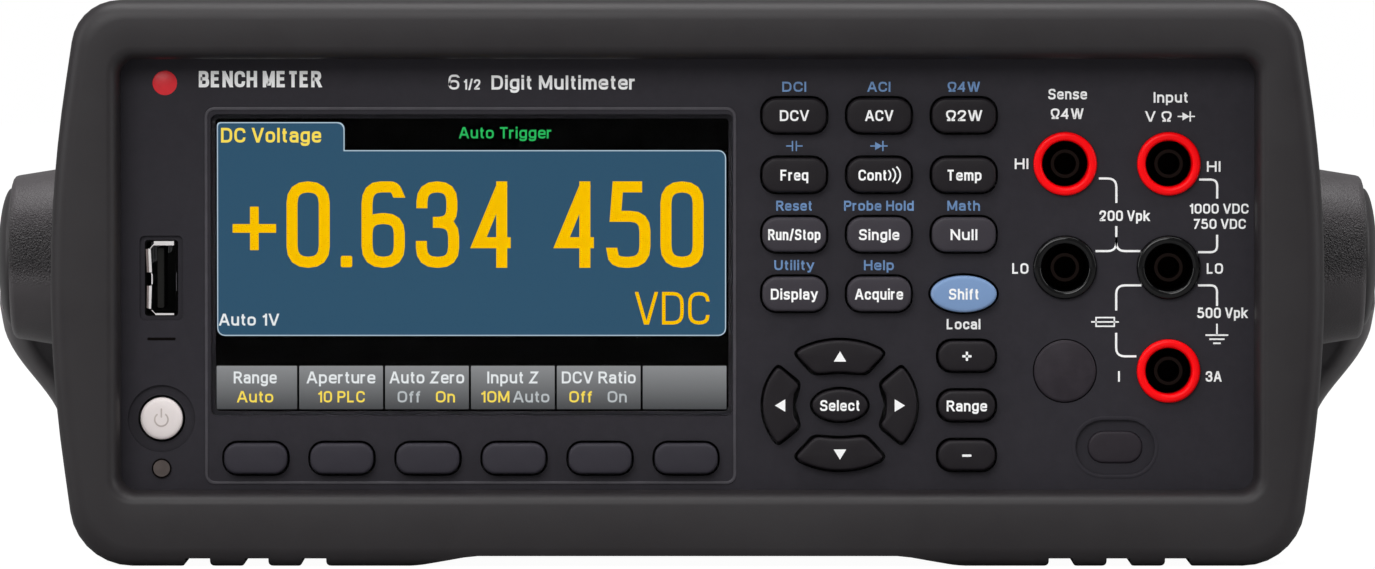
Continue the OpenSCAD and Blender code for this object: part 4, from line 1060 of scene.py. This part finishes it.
def jacks():
    """Shrouded banana jacks: rounded rim, dark lining and a recessed contact."""
    for colour, node_name in JACKS.items():
        made_list = []
        for i, (x, z) in enumerate(node_islands(node_name)):
            rim = [(5.6, 3.2), (5.6, 1.2), (5.84, 1.2), (5.84, -0.45), (5.8, -0.72), (5.7, -0.93),
                   (5.54, -1.07), (5.3, -1.15), (5.0, -1.17), (4.72, -1.14), (4.5, -1.02),
                   (4.36, -0.82), (4.28, -0.5), (4.23, 0.1), (4.2, 1.4), (4.2, 3.2)]
            mesh = lathe(rim, (x, Y_PANEL, z), steps=72)
            made_list.append(add_object(f"jack_{colour}_{i}", mesh, f"jack_{colour}", "case"))
            lining = [(5.6, 3.21), (4.2, 3.21), (4.2, 18.9), (4.3, 19.3), (5.6, 19.3)]
            mesh = lathe(lining, (x, Y_PANEL, z), steps=48)
            add_object(f"jack_{colour}_lining_{i}", mesh, "jack_lining", "case")
            # the contact's front edge is a lighter ring, a painted highlight
            contact_rim_lit = [(2.42, 2.6), (2.4, 2.42), (2.34, 2.38), (2.28, 2.42), (2.26, 2.6)]
            mesh = lathe(contact_rim_lit, (x, Y_PANEL, z), steps=48)
            add_object(f"jack_{colour}_contact_rim_lit_{i}", mesh, "contact_rim_lit", "case")
        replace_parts(made_list[0], node_name)


def blank_detail():
    """The round and the oval blank with soft edges."""
    low, high = mm_box("blank_plugs")
    round_x, round_z = node_islands("jack_shells_red")[0][0], node_islands("jack_shells_red")[1][1]
    profile = [(0, -0.3), (5.2, -0.3), (5.5, -0.22), (5.7, 0.0), (5.7, 2.0), (0, 2.0)]
    mesh = lathe(profile, (round_x, Y_PANEL, round_z))
    made = add_object("round_blank", mesh, "blank", "case")
    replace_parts(made, "blank_plugs")
    oval_x, oval_z = high.x - 5.0, low.z + 2.95
    outline = round_rect(10, 5.9, 2.9, 8, oval_x, oval_z)
    mesh = loft(cap_loops(outline, Y_PANEL + 0.3, Y_PANEL + 2.2, 0.5, 0.05))
    add_object("oval_blank", mesh, "blank", "case")
    outline = round_rect(14.6, 10.1, 5, 10, oval_x, oval_z)
    loops = [[(x, Y_PANEL + out, z) for x, z in inset_outline(outline, inset)]
             for inset, out in ((0.02, 0.7), (-0.05, -0.04), (-0.35, -0.1), (-0.65, -0.04), (-0.7, 0.1))]
    add_object("oval_rim", loft(loops, ring=True), "panel", "case")


def usb_socket():
    """The upright socket: folded shell coloured near black as painted shade, bright flared lips with a gap, and
    a slim tongue.
    """
    low, high = mm_box("usb_host_shell")
    w, h, wall = high.x - low.x, high.z - low.z, 0.3
    outline = round_rect(w, h, 0.7, 4, (low.x + high.x) / 2, (low.z + high.z) / 2)
    loops = [[(x, y, z) for x, z in inset_outline(outline, inset)] for inset, y in
             ((0, low.y + 0.25), (0, high.y), (wall, high.y), (wall, low.y + 0.4), (wall / 2, low.y + 0.2))]
    # painted shade: the shell's metal is coloured near black
    made = add_object("usb_shell", loft(loops, ring=True), "socket_shaded", "case")
    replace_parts(made, "usb_host_shell")
    lips = (("top", ((0.27, 0.99), (0.89, 0.99), (0.89, 0.935), (0.27, 0.935))),
            ("bottom", ((0.3, 0.03), (0.89, 0.03), (0.89, 0.006), (0.3, 0.006))),
            ("left_upper", ((0.09, 0.89), (0.165, 0.89), (0.205, 0.575), (0.12, 0.575))),
            ("left_lower", ((0.115, 0.395), (0.2, 0.4), (0.175, 0.085), (0.1, 0.095))),
            ("gap_edge", ((0.17, 0.572), (0.225, 0.55), (0.23, 0.42), (0.19, 0.41), (0.19, 0.54))),
            ("corner_top", ((0.27, 0.958), (0.27, 0.94), (0.165, 0.892), (0.145, 0.896))),
            ("corner_bottom", ((0.3, 0.032), (0.3, 0.02), (0.185, 0.07), (0.2, 0.076))))
    for name, corners in lips:
        lip = [(low.x + w * u, low.z + h * v) for u, v in corners]
        plate_piece("usb_lip_" + name, lip, low.y, 0.3, "socket_metal")
    # the folds take a darker copy of the socket metal as painted shade
    for name, corners in (("upper", ((0.012, 0.885), (0.09, 0.885), (0.12, 0.575), (0.05, 0.575))),
                          ("lower", ((0.05, 0.395), (0.115, 0.395), (0.1, 0.09), (0.04, 0.1)))):
        lip = [(low.x + w * u, low.z + h * v) for u, v in corners]
        plate_piece("usb_fold_" + name, lip, low.y + 0.1, 0.3, "socket_fold_shaded")
    # painted highlight: a thin lighter strip on the right side of the USB shell, where light catches it
    side_highlight = round_rect(0.12, h * 0.25, 0.05, 2, low.x + w * 0.965, low.z + h * 0.45)
    plate_piece("usb_side_highlight", side_highlight, low.y + 0.12, 0.2, "ridge")
    tongue_lo, tongue_hi = mm_box("usb_host_tongue")
    blade = round_rect(w * 0.22, tongue_hi.z - tongue_lo.z, 0.3, 4, low.x + w * 0.47,
                       (tongue_lo.z + tongue_hi.z) / 2)
    mesh = loft(cap_loops(blade, tongue_lo.y, tongue_hi.y, 0.2, 0.02))
    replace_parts(add_object("usb_tongue", mesh, "tongue", "case"), "usb_host_tongue")


def power_button():
    """The round standby button with its mark."""
    mid = centre("power_button")
    low, high = mm_box("power_button")
    r = (high.x - low.x) / 2 - KEY_FLANGE
    profile = [(0, 0.0), (r * 0.5, 0.02), (r * 0.8, 0.06), (r - 0.45, 0.14), (r - 0.2, 0.24),
               (r - 0.05, 0.42), (r, 0.7), (r, high.y - low.y), (0, high.y - low.y)]
    mesh = lathe(profile, (mid.x, low.y, mid.z))
    made = add_object("power_button_cap", mesh, "button", "power_button_body")
    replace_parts(made, "power_button")
    ring = arc(0, 0, 1.36, 125, 415, 24) + arc(0, 0, 1.08, 415, 125, 24)
    outline = [(mid.x + x, mid.z - 0.15 + z) for x, z in ring]
    bar = round_rect(0.28, 1.7, 0.12, 2, mid.x, mid.z + 1.05)
    for name, mark in (("ring", outline), ("bar", bar)):
        plate_piece("power_mark_" + name, mark, low.y - LABEL_PROUD, 0.1, "button_mark", "power_button_body")


def power_light():
    """The dark ring between the power light's lens and the panel."""
    mid = centre("power_led_lens")
    low, high = mm_box("power_led_lens")
    r = (high.x - low.x) / 2
    mesh = lathe([(r + 0.16, 0.1), (r + 0.16, -0.03), (r - 0.12, -0.03), (r - 0.12, 0.1)],
                 (mid.x, min(low.y, Y_PANEL), mid.z), steps=40)
    add_object("power_light_ring", mesh, "jack_lining", "case")


# ---------------------------------------------------------------- panel printing


def panel_print():
    """Printed words and lines round the jacks, and the strip above the display."""
    red, black = node_islands("jack_shells_red"), node_islands("jack_shells_black")
    xs = sorted({round(x, 2) for x, _ in red})
    sense, inp = xs[0], xs[-1]
    z_hi = max(z for _, z in red)
    z_lo = black[0][1]
    z_i = min(z for _, z in red)
    y = Y_PANEL - PRINT

    def ink(name, words, x, z, width, cap=1.95, weight=0.175):
        lettering(name, words, x, z, cap, width, y, "ink_white", "case", weight)

    ink("print_sense", "Sense", sense + 0.45, z_hi + 12.8, 7.1)
    ink("print_sense_ohms", "Ω4W", sense + 0.35, z_hi + 9.2, 6.0)
    ink("print_input", "Input", inp + 0.35, z_hi + 12.2, 6.3)
    ink("print_input_volts", "V Ω", inp - 1.9, z_hi + 8.7, 4.8)
    diode(inp + 3.2, z_hi + 8.7, "ink_white", "print_input")
    ink("print_hi_left", "HI", sense - 8.0, z_hi, 2.5)
    ink("print_hi_right", "HI", inp + 8.25, z_hi - 0.5, 2.5)
    ink("print_lo_left", "LO", sense - 8.2, z_lo - 0.2, 3.0)
    ink("print_lo_right", "LO", inp + 8.5, z_lo - 0.2, 3.0)
    middle = (sense + inp) / 2
    x_mid, x_far = middle - 0.1, inp + 8.9
    ink("print_200", "200 Vpk", middle + 1.4, z_lo + 9.5, 9.2)
    ink("print_1000", "1000 VDC", inp + 9.2, z_lo + 10.8, 10.9, 1.85)
    ink("print_750", "750 VDC", inp + 9.3, z_lo + 8.0, 9.7, 1.85)
    ink("print_500", "500 Vpk", inp + 9.9, z_i + 10.7, 9.2)
    ink("print_i", "I", inp - 9.1, z_i - 1.0, 0)
    ink("print_3a", "3A", inp + 8.3, z_i - 1.0, 2.9)
    line_piece("line_sense_hi", [(sense + 6.2, z_hi - 2.7), (x_mid, z_hi - 2.7),
                                 (x_mid, z_hi - 7.2)])
    line_piece("line_sense_drop", [(x_mid, z_lo + 7.6), (x_mid, z_lo + 3.0),
                                   (sense + 5.6, z_lo + 3.0)])
    line_piece("line_input_lo", [(x_mid, z_lo + 5.6), (x_mid, z_lo + 3.0),
                                 (inp - 5.2, z_lo + 3.0)])
    line_piece("line_input_hi", [(inp + 5.6, z_hi - 2.9), (x_far, z_hi - 2.9), (x_far, z_hi - 6.4)],
               corner=1.2)
    line_piece("line_input_drop", [(x_far, z_lo + 6.0), (x_far, z_lo + 2.8), (inp + 5.4, z_lo + 2.8)],
               corner=1.2)
    z_fuse = (z_lo + z_i) / 2 - 0.5
    line_piece("line_fuse", [(inp - 5.0, z_lo - 3.3), (x_mid, z_lo - 3.3), (x_mid, z_fuse + 2.1)])
    line_piece("line_fuse_lower", [(x_mid, z_fuse - 2.0), (x_mid, z_i + 2.7), (inp - 5.9, z_i + 2.7)])
    line_piece("line_ground", [(inp + 5.4, z_lo - 3.3), (x_far, z_lo - 3.3), (x_far, z_lo - 7.1)],
               corner=1.2)
    line_piece("fuse_box", [(x_mid - 2, z_fuse - 0.8), (x_mid - 0.35, z_fuse - 0.8),
                            (x_mid - 0.35, z_fuse + 0.8), (x_mid - 3.7, z_fuse + 0.8),
                            (x_mid - 3.7, z_fuse - 0.8), (x_mid - 2, z_fuse - 0.8)], width=0.26, corner=0)
    line_piece("fuse_wire", [(x_mid - 4.6, z_fuse), (x_mid + 0.5, z_fuse)], width=0.26)
    for i, half in enumerate((2.1, 1.4, 0.7)):
        z = z_i + 6.6 - 0.75 * i
        line_piece(f"ground_bar_{i}", [(x_far - half, z), (x_far + half, z)], width=0.3)
    line_piece("ground_stem", [(x_far, z_i + 8.7), (x_far, z_i + 6.6)], width=0.3)
    strip_z = window_hi.z + 6.6
    mesh = lathe([(0, -0.1), (2.1, -0.1), (2.25, 0.0), (2.25, 0.2), (0, 0.2)],
                 (window_lo.x - 8.5, Y_PANEL, strip_z - 0.7))
    add_object("maker_dot", mesh, "ink_red", "case")
    lettering("strip_kind", "BENCH METER", window_lo.x + 9.0, strip_z, 3.0, 22.5, y, "ink_white", "case", 0.2)
    for name, words, x, cap, width in (("digits", "6", 44.6, 2.75, 2.0), ("half", "1/2", 47.9, 1.9, 3.2),
                                       ("name", "Digit Multimeter", 64.7, 2.6, 26.4)):
        ink("strip_" + name, words, window_lo.x + x, strip_z - 0.62 - (2.6 - cap) / 2, width, cap,
            0.145 if words == "6" else 0.18)
    capacitor(centre("key_freq"))
    diode(centre("key_cont").x, centre("key_cont").z + 5.3, "ink_blue", "legend")
    touch_mark()


def diode(x, z, material, name):
    """A diode symbol."""
    y = Y_PANEL - PRINT
    arrow = [(x - 0.7, z + 0.75), (x - 0.7, z - 0.75), (x + 0.6, z)]
    for part, outline, back, thick in (("body", arrow, 0, 0.08),
                                       ("bar", round_rect(0.26, 1.9, 0.05, 1, x + 0.72, z), 0, 0.08),
                                       ("wire", round_rect(3.2, 0.24, 0.05, 1, x, z), 0.005, 0.075)):
        plate_piece(f"{name}_diode_{part}", outline, y + back, thick, material)


def capacitor(mid):
    """A capacitor symbol above a key."""
    y, z = Y_PANEL - PRINT, mid.z + 5.3
    for i, (x, w, h) in enumerate(((-0.32, 0.24, 1.9), (0.4, 0.24, 1.9), (-0.95, 1.1, 0.24), (1.0, 1.1, 0.24))):
        plate_piece(f"capacitor_{i}", round_rect(w, h, 0.05, 1, mid.x + x, z), y, 0.08, "ink_blue")


def touch_mark():
    """A plain moulded bar under the USB socket."""
    mid = centre("usb_host_shell")
    plate_piece("socket_mark", round_rect(5.2, 0.5, 0.2, 3, mid.x, mid.z - 11.2), Y_PANEL - 0.06, 0.2,
                "jack_lining")


# ---------------------------------------------------------------- handle


hub_box_lo, hub_box_hi = mm_box("pivot_bosses")
HUB = Vector((0, (hub_box_lo.y + hub_box_hi.y) / 2, (hub_box_lo.z + hub_box_hi.z) / 2))
CAPS_HI = mm_box("hub_caps")[1]
FOLD = math.radians(25)
ARM_T = 4.8
ARM_HIGH = CAPS_HI.x - 0.4
ARM_LOW = BUMPER_HALF + 0.7 + ARM_T
GRIP_T, GRIP_CLEAR = 5.2, 1.3
GRIP_Z = GRIP_CLEAR + GRIP_T / 2
BAIL_REST = 0.9
REACH = (HUB.z - GRIP_Z) / math.tan(FOLD)
GRIP_Y = HUB.y + REACH
HUB_X_IN = bezel_hi.x + 5.7
HUB_X_OUT = CAPS_HI.x - 3.1
HUB_R_IN, HUB_R_OUT = 17.8, 15.5
DOME_R = 13.1
# painted glints: the hub's grain and strong colour speckle are kept to a height band where light catches the
# hub
M["hub"] = surface("hub_plastic", (0.047, 0.0420, 0.0450), 0.4, mottle=(2600, 0.1), grain=(3200, 1.0, 0.005),
                   wear=(260, 0.2), dust=(60, 0.3), Specular_IOR_Level=0.4,
                   glint_band=[(HUB.z + z) * MM for z in (-5.5, -0.5, 4, 12)])


def arm_x(s):
    """Outer face of the arm at a distance from the pivot."""
    u = min(1, max(0, (s - 10) / 56))
    return ARM_LOW + (ARM_HIGH - ARM_LOW) * 0.5 * (1 + math.cos(math.pi * u))


def bail_stations(side):
    """Middle point, width direction, thickness direction, width and thickness along one arm to the grip."""
    along = Vector((0, math.cos(FOLD), -math.sin(FOLD)))
    across = Vector((0, math.sin(FOLD), math.cos(FOLD)))
    end = REACH / math.cos(FOLD)
    rows = []
    for i in range(27):
        s = (end - 9) * i / 26
        w = 23 - 5.5 * min(1, s / 60)
        point = HUB + along * s + Vector((side * (arm_x(s) - ARM_T / 2), 0, 0))
        rows.append((point, across, Vector((side, 0, 0)), w, ARM_T))
    start, w_dir = rows[-1][0], across
    corner = Vector((side * (ARM_LOW - ARM_T / 2), GRIP_Y, GRIP_Z))
    goal = Vector((side * (ARM_LOW - 17), GRIP_Y, GRIP_Z))
    for i in range(1, 11):
        t = i / 10
        point = on_bend(start, corner, goal, t)
        turn = t * math.pi / 2
        thick = Vector((side, 0, 0)) * math.cos(turn) + Vector((0, 0, -1)) * math.sin(turn)
        wide = (w_dir * (1 - t) + Vector((0, 1, 0)) * t).normalized()
        rows.append((point, wide, thick, 17.5 + 4.5 * t, ARM_T + 0.4 * t))
    return rows


def bail_loop(point, wide, thick, w, t):
    """A rounded cross-section of the bail, flattened where it would reach below its rest."""
    loop = [point + wide * a + thick * b for a, b in round_rect(w, t, 1.9, 5)]
    return [Vector((p.x, p.y, max(p.z, BAIL_REST))) for p in loop]


def handle():
    """The bail handle: hubs, bowed arms and the grip as one moulding, with domed caps."""
    left = bail_stations(-1)
    right = bail_stations(1)
    rows = [bail_loop(*r) for r in left]
    for r in reversed(right):
        loop = bail_loop(*r)
        count = len(loop)
        best = min(range(count), key=lambda k: (loop[k] - rows[-1][0]).length)
        forward = [loop[(best + i) % count] for i in range(count)]
        backward = [loop[(best - i) % count] for i in range(count)]
        gap = [sum((a - b).length for a, b in zip(rows[-1], way)) for way in (forward, backward)]
        rows.append(forward if gap[0] <= gap[1] else backward)
    mesh = loft(rows)
    # the arms and grip use a lighter copy of the hub plastic, painted light
    made = add_object("handle_bail", mesh, "handle", "handle_body", smooth=50)
    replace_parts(made, "handle")
    for side, name in ((-1, "left"), (1, "right")):
        inner, outer = HUB_X_IN, HUB_X_OUT
        profile = [(6.1, inner), (HUB_R_IN - 0.3, inner), (HUB_R_IN, inner + 0.3), (HUB_R_OUT, outer - 0.8),
                   (HUB_R_OUT - 0.2, outer - 0.25), (HUB_R_OUT - 0.7, outer + 0.15),
                   (HUB_R_OUT - 1.5, outer + 0.4), (DOME_R + 0.1, outer + 0.45), (DOME_R + 0.1, outer - 0.9),
                   (6.1, outer - 0.9)]
        profile = [(r, side * x) for r, x in profile]
        mesh = lathe(profile, (0, HUB.y, HUB.z), axis="x", steps=96)
        add_object(f"handle_hub_{name}", mesh, "hub", "handle_body", smooth=35)
        dome = [(0, outer - 0.8), (DOME_R, outer - 0.8), (DOME_R, outer + 0.35)]
        dome += [(DOME_R * math.cos(math.radians(a)), outer + 0.5 + 2.6 * math.sin(math.radians(a)))
                 for a in range(4, 90, 8)] + [(0, outer + 3.1)]
        mesh = lathe([(r, side * x) for r, x in dome], (0, HUB.y, HUB.z), axis="x",
                     steps=96)
        cap = add_object(f"handle_cap_{name}", mesh, "cap", "handle_body", smooth=35)
        if side > 0:
            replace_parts(cap, "hub_caps")


# ---------------------------------------------------------------- stage, lights, camera


ROOM_LIGHT = 0.3
FLOOR_BOUNCE = 0.3


def stage():
    """Plain pale floor that shows almost white and throws little light back."""
    floor, tree, shader = new_material("studio_floor", 0.7, Emission_Strength=1.0)
    rays = node(tree, "ShaderNodeLightPath")
    for target, unseen, seen in (("Base Color", FLOOR_BOUNCE, 0.04), ("Emission Color", 0.0, 0.97)):
        tone = node(tree, "ShaderNodeMix", data_type="RGBA")
        tone.inputs["A"].default_value = (unseen, unseen, unseen, 1)
        tone.inputs["B"].default_value = (seen, seen, seen, 1)
        tree.links.new(rays.outputs["Is Camera Ray"], tone.inputs["Factor"])
        tree.links.new(tone.outputs["Result"], shader.inputs[target])
    shape = bmesh.new()
    shape.faces.new([shape.verts.new((x, y, 0)) for x, y in ((-4, -4), (4, -4), (4, 4), (-4, 4))])
    mesh = bpy.data.meshes.new("studio_floor")
    shape.to_mesh(mesh)
    shape.free()
    mesh.materials.append(floor)
    for face in mesh.polygons:
        face.use_smooth = True
    made = bpy.data.objects.new("studio_floor", mesh)
    bpy.context.scene.collection.objects.link(made)


def area_light(name, where, target, size, power):
    """A soft rectangular light aimed at a point."""
    data = bpy.data.lights.new(name, "AREA")
    data.shape = "RECTANGLE"
    data.size, data.size_y = size
    data.energy = power
    made = bpy.data.objects.new(name, data)
    made.location = where
    made.rotation_euler = (Vector(target) - Vector(where)).to_track_quat("-Z", "Y").to_euler()
    bpy.context.scene.collection.objects.link(made)


def lights():
    """Soft studio light, mostly from above, in a pale room that shows white to the camera."""
    world = bpy.data.worlds.new("studio")
    world.use_nodes = True
    tree = world.node_tree
    rays = node(tree, "ShaderNodeLightPath")
    tree.links.new(remap(tree, rays.outputs["Is Camera Ray"], 0.0, 1.0, ROOM_LIGHT, 1.0),
                   tree.nodes["Background"].inputs["Strength"])
    tree.nodes["Background"].inputs["Color"].default_value = (1, 1, 1, 1)
    bpy.context.scene.world = world
    area_light("light_top", (0, -0.2, 1.5), (0, 0, 0.05), (1.6, 1.2), 26)
    area_light("light_front", (-0.5, -1.9, 1.1), (0, -0.15, 0.05), (1.4, 0.9), 22)
    for name, side in (("left", -1), ("right", 1)):
        area_light("light_" + name, (1.5 * side, -0.5, 0.6), (0.1 * side, -0.08, 0.05), (0.8, 1.2), 7.5)


def camera():
    """Long lens straight in front, looking down a little from just above the instrument."""
    distance, eye_height, aim_height, view_width = 1.9, 0.118, 0.0518, 0.2516
    aim = Vector((0, Y_FRONT * MM, aim_height))
    data = bpy.data.cameras.new("camera")
    data.sensor_width = 36
    made = bpy.data.objects.new("camera", data)
    made.location = (0, Y_FRONT * MM - distance, eye_height)
    look = aim - made.location
    data.lens = data.sensor_width * look.length / view_width
    data.clip_end = 20
    made.rotation_euler = look.to_track_quat("-Z", "Y").to_euler()
    bpy.context.scene.collection.objects.link(made)
    bpy.context.scene.camera = made


finish_cad_nodes()
bumper_piece("front_bumper_skin", "front_bumper", Y_FRONT, 1, Y_PANEL - Y_FRONT, CASE_W - 2 * LIP_SIDE,
             CASE_H - LIP_TOP - LIP_BOTTOM, Z_MID + (LIP_BOTTOM - LIP_TOP) / 2)
bumper_piece("rear_bumper_skin", "rear_bumper", Y_BACK, -1, Y_BACK - Y_REAR, CASE_W - 7, CASE_H - 7, Z_MID)
keys()
screen()
display_ridge()
jacks()
usb_socket()
blank_detail()
power_button()
power_light()
panel_print()
handle()
stage()
lights()
camera()
bpy.context.scene.view_settings.view_transform = "Standard"
